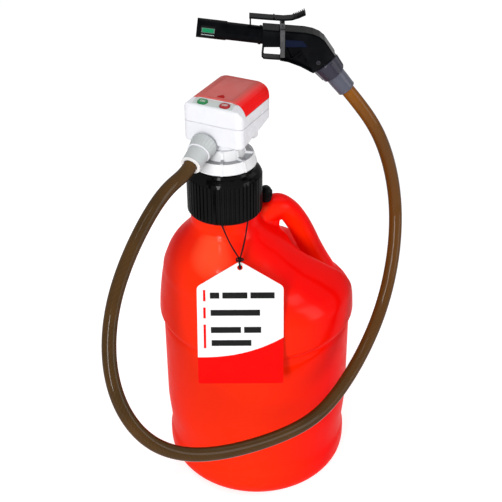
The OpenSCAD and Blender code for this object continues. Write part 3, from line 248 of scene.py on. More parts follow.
def calculate(tree, operation, first, second):
    return addNode(tree, "Math", {0: first, 1: second}, operation=operation).outputs[0]


def within(tree, value, low, high):
    # 1 where the value lies between low and high
    above = calculate(tree, "GREATER_THAN", value, low)
    return calculate(tree, "MULTIPLY", above, calculate(tree, "LESS_THAN", value, high))


def dotProduct(tree, first, second):
    return addNode(tree, "VectorMath", {0: first, 1: second}, operation="DOT_PRODUCT").outputs["Value"]


def turnedTo(tree, way):
    # how far the surface looks along a fixed direction of the object
    return dotProduct(tree, addNode(tree, "NewGeometry").outputs["Normal"], way)


def readAlong(tree, matrix, axis):
    # distance in metres from a frame's origin, along one of its axes
    spot = addNode(tree, "VectorMath", {0: addNode(tree, "TexCoord").outputs["Object"],
                                        1: tuple(matrix.translation)}, operation="SUBTRACT").outputs["Vector"]
    return dotProduct(tree, spot, tuple(matrix.to_3x3().col[axis]))


def noise(tree, scale, detail=3, stretch=None):
    spot = addNode(tree, "TexCoord").outputs["Object"]
    if stretch:
        spot = addNode(tree, "Mapping", {"Vector": spot, "Scale": stretch}).outputs["Vector"]
    return addNode(tree, "TexNoise", {"Vector": spot, "Scale": scale, "Detail": detail}).outputs["Fac"]


def stripes(tree, turn, scale, distortion):
    # slanted stripes over the UV map, for a braid or a cord's lay
    along = addNode(tree, "UVMap").outputs["UV"]
    turned = addNode(tree, "Mapping", {"Vector": along, "Rotation": (0, 0, turn)}).outputs["Vector"]
    inputs = {"Vector": turned, "Scale": scale, "Distortion": distortion}
    return addNode(tree, "TexWave", inputs).outputs["Fac"]


def spread(tree, value, low, high, fromLow=0.3, fromHigh=0.7):
    return addNode(tree, "MapRange", {"Value": value, "From Min": fromLow, "From Max": fromHigh,
                                      "To Min": low, "To Max": high}).outputs["Result"]


def mixColours(tree, factor, first, second):
    node = addNode(tree, "Mix", data_type="RGBA")
    for socket, value in ((node.inputs[0], factor), (node.inputs[6], first), (node.inputs[7], second)):
        if hasattr(value, "is_output"):
            tree.links.new(value, socket)
        elif isinstance(value, (tuple, list)):
            socket.default_value = (*value[:3], 1)
        else:
            socket.default_value = value
    return node.outputs[2]


def setPlain(shader, **values):
    for key, value in values.items():
        shader.inputs[key.replace("_", " ")].default_value = value


def setLinked(tree, shader, **sources):
    for key, source in sources.items():
        tree.links.new(source, shader.inputs[key.replace("_", " ")])


def ownColour(shader):
    return shader.inputs["Base Color"].links[0].from_socket


def addRelief(tree, shader, height, depth, edge=0.0, strength=0.4):
    # bump from a height, over edges that are rounded in the shading
    inputs = {"Height": height, "Distance": depth, "Strength": strength}
    if edge:
        inputs["Normal"] = addNode(tree, "Bevel", {"Radius": edge}, samples=6).outputs["Normal"]
    setLinked(tree, shader, Normal=addNode(tree, "Bump", inputs).outputs["Normal"])


def mouldedPlastic(name, colour, roughness, drift=0.06, grain=900, depth=0.00003, edge=0.0006, coat=0.0,
                   specular=0.4, flow=18):
    # moulded plastic: the colour drifts slightly, the gloss varies, and the skin has a fine grain
    material, tree, shader = startMaterial(name)
    cloud = noise(tree, flow, 2)
    pale = tuple(min(1, c * (1 + drift) + drift * 0.02) for c in colour)
    deep = tuple(c * (1 - drift) for c in colour)
    setLinked(tree, shader, Base_Color=mixColours(tree, spread(tree, cloud, 0, 1), deep, pale))
    fine = noise(tree, grain, 3)
    gloss = spread(tree, noise(tree, flow * 4, 4), roughness * 0.85, roughness * 1.2)
    setLinked(tree, shader, Roughness=gloss)
    addRelief(tree, shader, fine, depth, edge)
    setPlain(shader, Coat_Weight=coat, Specular_IOR_Level=specular)
    return material, tree, shader


def brushedMetal(name, colour, roughness, stretch=(1, 1, 12)):
    # drawn metal: fine scratches along one way change the gloss and the height
    material, tree, shader = startMaterial(name)
    lines = noise(tree, 400, 4, stretch)
    pale = tuple(min(1, c * 1.15) for c in colour)
    setLinked(tree, shader, Roughness=spread(tree, lines, roughness * 0.7, roughness * 1.4),
              Base_Color=mixColours(tree, lines, tuple(c * 0.8 for c in colour), pale))
    addRelief(tree, shader, lines, 0.00002, 0.0003)
    setPlain(shader, Metallic=1.0)
    return material


def dress(material, *names):
    # gives CAD nodes a material in place of their own
    for name in names:
        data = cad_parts[name].data
        data.materials.clear()
        data.materials.append(material)


def wear(piece, body, material, slot, *nodes):
    # a new piece's material, its body, and the nodes that it stands for; slot is not used
    piece.data.materials.clear()
    piece.data.materials.append(material)
    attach(piece, body)
    if nodes:
        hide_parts(*nodes)
    return piece


# jug lengths in millimetres, heights from the floor
jug = {"bodyR": 129.5, "bandR": 134.5, "bandZ": 262, "shoulderH": 138, "neckR": 45, "neckH": 74, "wall": 3,
       "footRound": 34, "footZ": 46, "footStep": 2.5, "stepH": 14, "returnH": 60, "flatFoot": 1.6,
       "grooveH": 12, "grooveRun": 10, "grooveDepth": 2.5, "bandRise": 9, "flare": 4, "flareH": 8}
neckZ = jug["bandZ"] + jug["shoulderH"]
pocket = {"depth": 63, "angle": 36, "fade": 1.6}
grip = {"width": 38, "thick": 31, "corner": 0.9, "steps": 72, "sides": 48}
web = {"half": 15, "near": 30, "far": 81, "levels": (345, 372, 400), "arc": 20}
vent = {"reach": 61.5, "sides": 40}
jugMesh = {"sides": 220, "row": 2, "footRows": 16, "insideSides": 120, "insideRow": 5, "insideFoot": 6,
           "cell": 2.3}

# rows of the shoulder: share of its height, share of the way in, share of the shift towards the neck
shoulderRows = np.array([[0, 0, 0], [0.17, 0.02, 0], [0.28, 0.05, 0.02], [0.38, 0.125, 0.13],
                         [0.46, 0.23, 0.3], [0.54, 0.33, 0.48], [0.64, 0.475, 0.68], [0.75, 0.62, 0.85],
                         [0.855, 0.76, 0.93], [0.94, 0.9, 0.98], [1, 1, 1]])
# rows of the finger pocket: share of the shoulder's height, share of the pocket's depth
pocketRows = np.array([[0.13, 0], [0.19, 0.3], [0.25, 0.64], [0.32, 0.92], [0.4, 1], [0.52, 0.75],
                       [0.64, 0.36], [0.76, 0]])
# points of the grip's middle line: share of the way from the neck to the band's edge, and share of the
# shoulder's height
gripRoute = np.array([[0.241, 0.949], [0.347, 1.018], [0.439, 1.032], [0.526, 0.958], [0.601, 0.823],
                      [0.668, 0.659], [0.734, 0.47], [0.806, 0.288], [0.868, 0.142], [0.902, 0.033]])


def fromHandle(x, y, z):
    # from millimetres in the handle's plane, measured from the jug's middle, to metres in the object's frame
    c, s = math.cos(handleTurn), math.sin(handleTurn)
    x, y, z = np.broadcast_arrays(x, y, z)
    return np.stack([x * c - y * s, x * s + y * c, z], 2) * mm


def jugRadius(z):
    # rounded foot, foot band, straight body with a groove, widest band, shoulder and neck, each with its rule
    j = jug
    grooveZ = j["bandZ"] - j["grooveH"]
    stepTop = j["footZ"] + j["stepH"]
    rootR = j["neckR"] + j["flare"]
    arc = np.sqrt(1 - (1 - np.clip(z / j["footRound"], 0, 1)) ** 2)
    foot = j["bodyR"] - j["footRound"] + j["footRound"] * arc
    bodyLow = j["bodyR"] - j["footStep"] * (0.5 + ease((z - j["footZ"]) / j["stepH"]))
    body = bodyLow + 1.5 * j["footStep"] * ease((z - stepTop) / j["returnH"])
    groove = j["bodyR"] - j["grooveDepth"] * ease(1 + (z - grooveZ) / j["grooveRun"])
    band = groove + (j["bandR"] - j["bodyR"] + j["grooveDepth"]) * ease((z - grooveZ) / j["bandRise"])
    share = smoothRead((z - j["bandZ"]) / j["shoulderH"], shoulderRows[:, 0], shoulderRows[:, 1])
    shoulder = j["bandR"] + (rootR - j["bandR"]) * share
    neck = rootR - j["flare"] * ease((z - neckZ) / j["flareH"])
    tops = (j["footRound"], stepTop, grooveZ - j["grooveRun"], j["bandZ"], neckZ)
    rules = [foot - 0.5 * j["footStep"], bodyLow, body, band, shoulder]
    return np.select([z < top for top in tops], rules, neck)


def jugSkin(inset, heights, sides):
    # a ring at each height, shifted towards the neck and pressed in by the finger pocket
    z = np.asarray(heights, float)[:, None]
    turn = np.linspace(0, 2 * np.pi, sides, endpoint=False)[None]
    away = abs(np.degrees(np.where(turn > np.pi, turn - 2 * np.pi, turn)))
    up = (z - jug["bandZ"]) / jug["shoulderH"]
    inPocket = (away < pocket["angle"]) & (up > pocketRows[0, 0]) & (up < pocketRows[-1, 0])
    across = ease(1 - (away / pocket["angle"]) ** pocket["fade"])
    deep = pocket["depth"] * smoothRead(up, pocketRows[:, 0], pocketRows[:, 1]) * across
    r = jugRadius(z) - inset - np.where(inPocket, deep, 0)
    share = smoothRead(np.clip(up, 0, 1), shoulderRows[:, 0], shoulderRows[:, 2])
    shift = np.where(up < 0, 0, share) * handle["neckOffset"]
    return fromHandle(r * np.cos(turn) - shift, r * np.sin(turn), z)


def gripRings():
    # rounded section carried along the grip's line, in the handle's own plane
    g = grip
    reach = handle["neckOffset"] + jug["bandR"]
    spots = np.stack([gripRoute[:, 0] * reach, gripRoute[:, 1] * jug["shoulderH"] + jug["bandZ"]], 1)
    line = splineThrough(spots, g["steps"])
    way = np.gradient(line, axis=0)
    way /= np.linalg.norm(way, axis=1)[:, None]
    a = np.linspace(0, 2 * np.pi, g["sides"], endpoint=False)[None]
    wide = g["width"] / 2 * np.sign(np.cos(a)) * abs(np.cos(a)) ** g["corner"]
    thick = g["thick"] / 2 * np.sign(np.sin(a)) * abs(np.sin(a)) ** g["corner"]
    x = line[:, :1] - way[:, 1:] * thick
    z = line[:, 1:] + way[:, :1] * thick
    return fromHandle(x - handle["neckOffset"], wide, z)


def rootWeb():
    # round-ended block that fills the corner between the neck and the grip
    w = web
    a = np.linspace(-np.pi / 2, np.pi / 2, w["arc"])
    x = np.concatenate([w["far"] - w["half"] + w["half"] * np.cos(a), [w["near"], w["near"]]])
    y = np.concatenate([w["half"] * np.sin(a), [w["half"], -w["half"]]])
    return fromHandle(x[None] - handle["neckOffset"], y[None], np.array(w["levels"], float)[:, None])


def ventHump():
    # low round boss that carries the vent on the grip's root
    profile = np.array([[12.5, 396], [12.5, 404], [12, 409], [10.5, 413], [8.2, 416], [5.0, 417.2]])
    spot = neckSpot + vent["reach"] * np.array([math.cos(handleTurn), math.sin(handleTurn)])
    a = np.linspace(0, 2 * np.pi, vent["sides"], endpoint=False)[None]
    r, z = profile[:, :1], profile[:, 1:]
    x = spot[0] + r * np.cos(a)
    return np.stack([x, spot[1] + r * np.sin(a), np.broadcast_to(z, x.shape)], 2) * mm


def redPolyethylene():
    # blow-moulded tank plastic: a faint cloud in the colour, painted light that turns the faces looking to the
    # front orange, a painted highlight patch where the shoulder looks front and up, and a slightly wavy skin
    material, tree, shader = startMaterial("redPolyethylene")
    cloud = spread(tree, noise(tree, 9, 3), 0, 1)
    skin = mixColours(tree, cloud, (0.94, 0.0005, 0.0005), (1.0, 0.002, 0.0005))
    front = turnedTo(tree, (-0.35, -0.93, 0.1))
    # painted light: faces that look to the front, towards the key lamp, turn orange as if lit
    paintedFrontLight = mixColours(tree, spread(tree, front, 0, 1, 0.35, 0.95), skin, (1.0, 0.024, 0.001))
    highlightFacing = turnedTo(tree, (-0.24, -0.72, 0.65))
    # painted highlight: a pale orange patch where the shoulder looks front and up, in place of a softbox's
    # reflection
    lit = mixColours(tree, spread(tree, highlightFacing, 0, 1, 0.93, 1.0), paintedFrontLight, (1.0, 0.075, 0.022))
    setLinked(tree, shader, Base_Color=lit, Roughness=spread(tree, noise(tree, 60, 4), 0.30, 0.40))
    addRelief(tree, shader, noise(tree, 14, 2, (1, 1, 0.5)), 0.0014, 0.0, 0.5)
    setPlain(shader, Coat_Weight=0.022, Coat_IOR=3.0, Coat_Roughness=0.12, Specular_IOR_Level=0.01,
             Sheen_Weight=0.3, Sheen_Roughness=0.4, Sheen_Tint=(1.0, 0.02, 0.01, 1))
    return material


def cleanRim(piece, rim):
    # makes the foot flat and keeps the skin below the rim after smoothing
    points = meshPoints(piece)
    points[:, 2] = np.where(points[:, 2] < jug["flatFoot"] * mm, 0, np.minimum(points[:, 2], rim))
    piece.data.vertices.foreach_set("co", points.ravel())
    piece.data.update()


def makeJug():
    # body, grip, vent's boss and web are merged into one closed skin, which is then hollowed from the rim
    m, wall = jugMesh, jug["wall"]
    rimZ = neckZ + jug["neckH"]
    foot = jug["footRound"] * (1 - np.cos(np.linspace(0, np.pi / 2, m["footRows"])))
    heights = np.concatenate([foot, np.arange(jug["footRound"] + m["row"], rimZ - 1, m["row"]), [rimZ]])
    points, faces = np.zeros((0, 3)), []
    for rings in (jugSkin(0, heights, m["sides"]), gripRings(), ventHump(), rootWeb()):
        faces += ringFaces(rings, first=len(points))
        points = np.concatenate([points, rings.reshape(-1, 3)])
    outer = addMesh("jugShell", points, faces)
    finishMesh(outer, ("REMESH", {"mode": "VOXEL", "voxel_size": m["cell"] * mm, "use_smooth_shade": True}),
               ("SMOOTH", {"factor": 0.5, "iterations": 4}))
    cleanRim(outer, rimZ * mm)
    body = np.arange(jug["footRound"], rimZ - 2, m["insideRow"])
    inside = np.concatenate([[wall, wall + m["insideFoot"]], body, [rimZ - 1, rimZ + m["insideRow"]]])
    hollow = addRings("jugHollow", jugSkin(wall, inside, m["insideSides"]))
    finishMesh(outer, ("BOOLEAN", {"operation": "DIFFERENCE", "object": hollow, "solver": "MANIFOLD"}))
    bpy.data.objects.remove(hollow)
    wear(outer, "base", redPolyethylene(), "jug_red", "jug_shell")
    print("stage: jug", len(outer.data.polygons), "faces")


makeJug()


# hose in metres; it leaves the outlet and enters the nozzle along their own axes, in steps of these lengths
hose = {"radius": 0.0087, "wall": 0.0025, "sides": 40, "perPoint": 22, "inOutlet": 0.0195,
        "outletStep": 0.022, "inNozzle": 0.017, "nozzleStep": 0.028}
hoseRoute = [(-0.115, -0.135, 0.505), (-0.170, -0.215, 0.420), (-0.175, -0.270, 0.330),
             (-0.135, -0.295, 0.255), (-0.065, -0.265, 0.205), (0.045, -0.195, 0.185),
             (0.100, -0.150, 0.195), (0.160, -0.070, 0.255), (0.185, -0.030, 0.340),
             (0.190, 0.020, 0.415), (0.161, -0.015, 0.520)]


def amberVinyl():
    # clear amber vinyl over dark fuel: darker at the edges, where more wall is seen, lighter towards the
    # nozzle, and with a faint braid near the pump; distances along the hose are in metres
    material, tree, shader = startMaterial("amberVinyl")
    way = addNode(tree, "SeparateXYZ", {"Vector": addNode(tree, "UVMap").outputs["UV"]}).outputs["X"]
    cloud = spread(tree, noise(tree, 16, 3), 0, 1)
    body = mixColours(tree, cloud, (0.042, 0.020, 0.004), (0.072, 0.032, 0.006))
    middle = mixColours(tree, spread(tree, way, 0, 1, 0.62, 0.86), body, (0.115, 0.042, 0.006))
    full = mixColours(tree, spread(tree, way, 0, 1, 0.98, 1.12), middle, (0.24, 0.078, 0.005))
    braid = spread(tree, stripes(tree, 0.785, 85.0, 0.3), 0, 1, 0, 1)
    shown = calculate(tree, "MULTIPLY", braid, spread(tree, way, 0.42, 0.03, 0.03, 0.20))
    woven = mixColours(tree, shown, full, (0.30, 0.17, 0.06))
    edge = addNode(tree, "LayerWeight", {"Blend": 0.35}).outputs["Facing"]
    rimmed = mixColours(tree, spread(tree, edge, 0, 1, 0.30, 0.85), woven, (0.045, 0.014, 0.003))
    setLinked(tree, shader, Base_Color=rimmed, Roughness=spread(tree, noise(tree, 90, 3), 0.12, 0.2))
    addRelief(tree, shader, noise(tree, 120, 2), 0.0003, 0.0, 0.35)
    setPlain(shader, Coat_Weight=0.05, Coat_IOR=2.2, Coat_Roughness=0.04, Specular_IOR_Level=0.03)
    return material


def makeHose():
    h = hose
    start = atOutlet @ Vector((0, 0, h["inOutlet"]))
    wayOut = (atOutlet.to_3x3() @ Vector((0, 0, 1))).normalized()
    end = atHoseEnd @ Vector((0, 0, h["inNozzle"]))
    wayIn = (atHoseEnd.to_3x3() @ Vector((0, 0, 1))).normalized()
    points = [start + wayOut * (h["outletStep"] * k) for k in (-1, 0, 1, 2)] + [Vector(p) for p in hoseRoute]
    points += [end + wayIn * (h["nozzleStep"] * k) for k in (2, 1, 0, -1)]
    line = drawnCurve([tuple(p) for p in points], h["perPoint"])
    length = lineLength(line)
    outside = tubeRings(line, h["radius"], h["sides"])
    bore = tubeRings(line, h["radius"] - h["wall"], h["sides"])
    piece = addRings("hoseTube", np.concatenate([outside, bore[::-1]]), closedRows=True)
    addTubeMap(piece, len(line), h["sides"], length, 2 * math.pi * h["radius"])
    wear(piece, "base", amberVinyl(), "hose_vinyl", "hose")
    print("stage: hose", round(length, 3), "m")


makeHose()


# card lengths in millimetres, measured from the middle of its hanging frame; the peak is its half width, the
# drop of its sides and its rise; a row is (low, high) and then the (left, right) of each block; the band is its
# height at the left, its climb to the right and that climb's power; the back repeats the print at one height
tag = {"width": 110, "low": -29, "top": 134, "shoulder": 102, "thick": 1.2, "holeR": 3.5, "holeH": 127,
       "peak": (12, 6, 1), "cuts": (2.5, 2.5, 4, 6, 5, 6, 4), "cutSteps": 7, "edgeSteps": 240,
       "ringSteps": 40, "ringSpan": (0.02, 0.985), "sharpFrom": 50, "backHeight": 50,
       "bars": ((82.8, 97.9), (60.0, 74.6), (19.5, 51.7)), "barSide": (-47.2, -44.0),
       "band": (7.2, 26.8, 2.4),
       "rows": (((86.3, 94.4), ((-38.4, -26.5), (-22.6, 9.2), (13.0, 43.7))),
                ((63.3, 71.3), ((-37.8, 25.2),)),
                ((40.2, 48.3), ((-37.8, 0.7), (4.6, 26.5))),
                ((22.6, 30.6), ((-37.1, 13.9),)))}


def printedCard():
    # coated card: white with a red foot band, three red bars, and plain black bars as filler rows, all read
    # from the card's own UV in millimetres
    material, tree, shader = startMaterial("printedCard")
    uv = addNode(tree, "SeparateXYZ", {"Vector": addNode(tree, "UVMap").outputs["UV"]})
    x, y = uv.outputs["X"], uv.outputs["Y"]
    # the foot band's upper edge climbs as a power of the share of the width
    low, climb, power = tag["band"]
    fromLeft = calculate(tree, "MULTIPLY", calculate(tree, "ADD", x, tag["width"] / 2), 1 / tag["width"])
    share = calculate(tree, "MAXIMUM", fromLeft, 0.0)
    risen = calculate(tree, "MULTIPLY", calculate(tree, "POWER", share, power), climb)
    red = calculate(tree, "LESS_THAN", y, calculate(tree, "ADD", risen, low))
    for span in tag["bars"]:
        bar = calculate(tree, "MULTIPLY", within(tree, x, *tag["barSide"]), within(tree, y, *span))
        red = calculate(tree, "MAXIMUM", red, bar)
    dark = 0.0
    for span, blocks in tag["rows"]:
        for block in blocks:
            filled = calculate(tree, "MULTIPLY", within(tree, x, *block), within(tree, y, *span))
            dark = calculate(tree, "MAXIMUM", dark, filled)
    fibre = spread(tree, noise(tree, 300, 4), 0, 1)
    paper = mixColours(tree, fibre, (0.88, 0.88, 0.88), (0.94, 0.94, 0.94))
    printed = mixColours(tree, dark, paper, (0.012, 0.012, 0.012))
    ink = mixColours(tree, fibre, (0.86, 0.002, 0.002), (0.93, 0.003, 0.002))
    setLinked(tree, shader, Base_Color=mixColours(tree, red, printed, ink),
              Roughness=spread(tree, noise(tree, 160, 3), 0.28, 0.4))
    addRelief(tree, shader, noise(tree, 500, 3), 0.00003, 0.0003)
    setPlain(shader, Specular_IOR_Level=0.05)
    return material


def tagOutline():
    # straight sides, sloped shoulders and a rounded peak, each corner cut by a short curve
    t = tag
    w = t["width"] / 2
    half, drop, rise = t["peak"]
    corners = np.array([[-w, t["low"]], [w, t["low"]], [w, t["shoulder"]], [half, t["top"] - drop],
                        [0, t["top"] + rise], [-half, t["top"] - drop], [-w, t["shoulder"]]])
    cut = np.array(t["cuts"])[:, None]
    before, after = np.roll(corners, 1, 0) - corners, np.roll(corners, -1, 0) - corners
    before /= np.linalg.norm(before, axis=1)[:, None]
    after /= np.linalg.norm(after, axis=1)[:, None]
    s = np.linspace(0, 1, t["cutSteps"])[None, :, None]
    start, end = (corners + before * cut)[:, None], (corners + after * cut)[:, None]
    return ((1 - s) ** 2 * start + 2 * s * (1 - s) * corners[:, None] + s ** 2 * end).reshape(-1, 2)


def makeTag():
    # rings shrink from the outline to the hole, on the front and on the back
    t = tag
    outline = tagOutline()
    closed = np.vstack([outline, outline[:1]])
    at = np.concatenate([[0], np.cumsum(np.linalg.norm(np.diff(closed, axis=0), axis=1))])
    turn = np.linspace(0, at[-1], t["edgeSteps"], endpoint=False)
    edge = np.stack([np.interp(turn, at, closed[:, k]) for k in (0, 1)], 1)
    hole = np.array([0, t["holeH"]])
    angle = np.arctan2(edge[:, 1] - hole[1], edge[:, 0] - hole[0])
    rim = hole + t["holeR"] * np.stack([np.cos(angle), np.sin(angle)], 1)
    steps = np.concatenate([[0], np.linspace(*t["ringSpan"], t["ringSteps"]), [1]])[:, None, None]
    flat = rim[None] * (1 - steps) + edge[None] * steps
    x, z = flat[..., 0], flat[..., 1]
    front, back = [np.stack([x, np.full_like(x, depth), z], 2) for depth in (-t["thick"], 0)]
    piece = addRings("tagCard", np.concatenate([front, back[::-1]]) * mm, closedRows=True)
    points = meshPoints(piece)[cornerVertices(piece)] / mm
    behind = points[:, 1] > -t["thick"] / 2
    setMap(piece, np.stack([points[:, 0], np.where(behind, t["backHeight"], points[:, 2])], 1))
    place(piece, atTag)
    finishMesh(piece, ("EDGE_SPLIT", {"split_angle": math.radians(t["sharpFrom"])}))
    wear(piece, "tag", printedCard(), "card_white", "tag_card")


# string lengths in millimetres; a strand has its azimuth on the neck in degrees and its sideways bend; the bow
# and the tie have their half width, depth and height, and the tie its place near the knot
string = {"radius": 1.05, "sides": 16, "pitch": 4.2, "girth": 4.7, "loopZ": 423.8, "loopR": 45.95,
          "knot": (0, -0.6, 138), "strands": ((-94, -0.8), (-49.5, 0.8)), "sag": (-2, -1),
          "ringR": 6, "ringTall": 6.1, "ringH": 132, "ringWave": 0.9, "bow": (4.3, 0.9, 1.9), "droop": 0.12,
          "tie": (1.55, 1.5, 0.5), "tieAt": (-0.4, -0.8)}
stringSteps = {"loop": 140, "strand": 26, "ring": 60, "knot": 70}


def twistedCord():
    material, tree, shader = startMaterial("twistedCord")
    strands = stripes(tree, 0.9, 700.0, 1.0)
    black = mixColours(tree, strands, (0.0015, 0.0015, 0.0015), (0.008, 0.008, 0.0085))
    setLinked(tree, shader, Base_Color=black)
    addRelief(tree, shader, strands, 0.0004, 0.0, 0.8)
    setPlain(shader, Roughness=0.85, Specular_IOR_Level=0.05, Sheen_Weight=0.05)
    return material


def twistedRings(line):
    # two strands laid round each other: the section is a figure of two lobes that turns along the line
    along, across, other = carriedFrames(line)
    length = np.concatenate([[0], np.cumsum(np.linalg.norm(np.diff(line, axis=0), axis=1))])
    a = np.linspace(0, 2 * np.pi, string["sides"], endpoint=False)[None, :]
    turn = a - (2 * np.pi * length / (string["pitch"] * mm))[:, None]
    r = (string["radius"] * mm * (0.80 + 0.2 * abs(np.cos(turn))))[..., None]
    a = a[..., None]
    return line[:, None] + r * (np.cos(a) * across[:, None] + np.sin(a) * other[:, None])


def makeString():
    # loop round the neck, two strands down to a knot, a small loop through the card's hole, then the knot's
    # bow and tie
    t = string
    knot = np.array(atTag @ Vector([length * mm for length in t["knot"]]))
    out = t["knot"][1]

    def onNeck(a):
        x, y = neckSpot[0] + t["loopR"] * np.cos(a), neckSpot[1] + t["loopR"] * np.sin(a)
        return np.stack([x, y, np.full_like(x, t["loopZ"])], -1) * mm

    def turnOnce(steps):
        return np.linspace(0, 2 * np.pi, steps, endpoint=False)

    lines = [(onNeck(turnOnce(stringSteps["loop"])), True)]
    for azimuth, bend in t["strands"]:
        top = onNeck(np.array(math.radians(azimuth)))
        s = np.linspace(0, 1, stringSteps["strand"])[:, None]
        sag = np.array([bend, *t["sag"]]) * mm * np.sin(np.pi * s)
        lines.append((knot + (top - knot) * s + sag, False))
    a = turnOnce(stringSteps["ring"])
    ring = np.stack([t["ringWave"] * np.sin(2 * a), t["ringR"] * np.sin(a) + out,
                     t["ringH"] + t["ringTall"] * np.cos(a)], 1) * mm
    lines.append((np.array([atTag @ Vector(p) for p in ring]), True))
    a = turnOnce(stringSteps["knot"])
    wide, thick, tall = t["bow"]
    fall = t["droop"] * wide * abs(np.sin(a))
    bow = np.stack([wide * np.sin(a), thick * np.cos(3 * a) + out, tall * np.sin(2 * a) - fall], 1)
    lines.append((bow * mm + knot, True))
    wide, thick, tall = t["tie"]
    near, low = t["tieAt"]
    tie = np.stack([wide * np.cos(a), thick * np.sin(a) + near, tall * np.sin(a) + low], 1)
    lines.append((tie * mm + knot, True))
    material = twistedCord()
    for number, (line, closed) in enumerate(lines):
        piece = addRings("tagString" + str(number), twistedRings(line), closedRows=closed)
        addTubeMap(piece, len(line), t["sides"], lineLength(line), t["girth"] * mm)
        wear(piece, "base", material, "string_black", *(["tag_string"] if number == 0 else []))


makeTag()
makeString()
print("stage: tag")


# paler, pinkish reds for the cover's flat top and the plate: a painted reflection veil over painted shade
paintedVeilRed = {"deep": (0.66, 0.120, 0.105), "pale": (0.72, 0.140, 0.125)}


def coverRed():
    # glossy red on the steep sides; over the flat top and its left edge a rougher gloss and a paler, pinkish
    # red that is painted reflection and shade, told by the way that the surface looks
    material, tree, shader = mouldedPlastic("coverRed", (0.97, 0.001, 0.001), 0.2, drift=0.02, grain=500,
                                            depth=0.000005, edge=0.0012, coat=0.03, specular=0.05)
    acrossHead = math.radians(head["turn"])
    right = turnedTo(tree, (math.cos(acrossHead), math.sin(acrossHead), 0))
    steepRight = spread(tree, right, 0, 1, 0.08, 0.52)
    steepLeft = spread(tree, right, 1, 0, -0.95, -0.82)
    shiny = calculate(tree, "MAXIMUM", steepRight, steepLeft)
    # painted reflection and shade: the flat top's pale pinkish red
    paintedVeil = mixColours(tree, spread(tree, noise(tree, 40, 3), 0, 1), paintedVeilRed["deep"], paintedVeilRed["pale"])
    setLinked(tree, shader, Base_Color=mixColours(tree, shiny, paintedVeil, ownColour(shader)),
              Roughness=spread(tree, shiny, 0.5, 0.2, 0, 1))
    return material


outletGrey = {"colour": (0.52, 0.545, 0.55), "roughness": 0.4, "drift": 0.02, "grain": 500, "depth": 0.000005,
              "edge": 0.0006, "specular": 0.2}


def lippedSleeve():
    # the outlet's grey with a white lip round its end, read along the outlet's axis
    material, tree, shader = mouldedPlastic("lippedGrey", **outletGrey)
    lip = spread(tree, readAlong(tree, atOutlet, 2), 0, 1, 41.5 * mm, 42.2 * mm)
    setLinked(tree, shader, Base_Color=mixColours(tree, lip, ownColour(shader), (0.90, 0.90, 0.90)))
    return material


def shadedShelfWhite():
    # the nut's white, with painted shade: greyer on the faces that look up, as the shelf lies under the head
    material, tree, shader = mouldedPlastic("nutWhiteShadedShelf", (0.80, 0.805, 0.82), 0.3, drift=0.004, grain=300,
                                            depth=0.000003, edge=0.0008, coat=0.03, specular=0.2)
    # painted shade: faces that look up turn grey, standing in for the head's shade over the shelf
    up = spread(tree, turnedTo(tree, (0, 0, 1)), 0, 1, 0.75, 0.97)
    setLinked(tree, shader, Base_Color=mixColours(tree, up, ownColour(shader), (0.36, 0.37, 0.385)))
    return material


# panels in millimetres: height across the spout and distance along it, then the colour
sticker = (((-4.6, -3.5), (57.5, 73), (0.35, 0.40, 0.40)), ((-1.2, 4.4), (57.5, 73), (0.10, 0.16, 0.14)),
           ((-0.6, 3.8), (58.5, 72), (0.003, 0.22, 0.085)))


def spoutSticker():
    # black sticker with a framed green panel on its upper half and a pale rule below, in the spout's frame
    black = (0.002, 0.002, 0.002)
    material, tree, shader = mouldedPlastic("spoutSticker", black, 0.3, edge=0.0, specular=0.1)
    height, along = [readAlong(tree, atSpout, axis) for axis in (0, 2)]
    shown = ownColour(shader)
    for side, reach, colour in sticker:
        tall = within(tree, height, side[0] * mm, side[1] * mm)
        panel = calculate(tree, "MULTIPLY", tall, within(tree, along, reach[0] * mm, reach[1] * mm))
        shown = mixColours(tree, panel, shown, colour)
    setLinked(tree, shader, Base_Color=shown)
    return material


def cover(name, colour, roughness, *nodes, **settings):
    # one moulded plastic on the CAD nodes named
    material = mouldedPlastic(name, colour, roughness, **settings)[0]
    dress(material, *nodes)
    return material


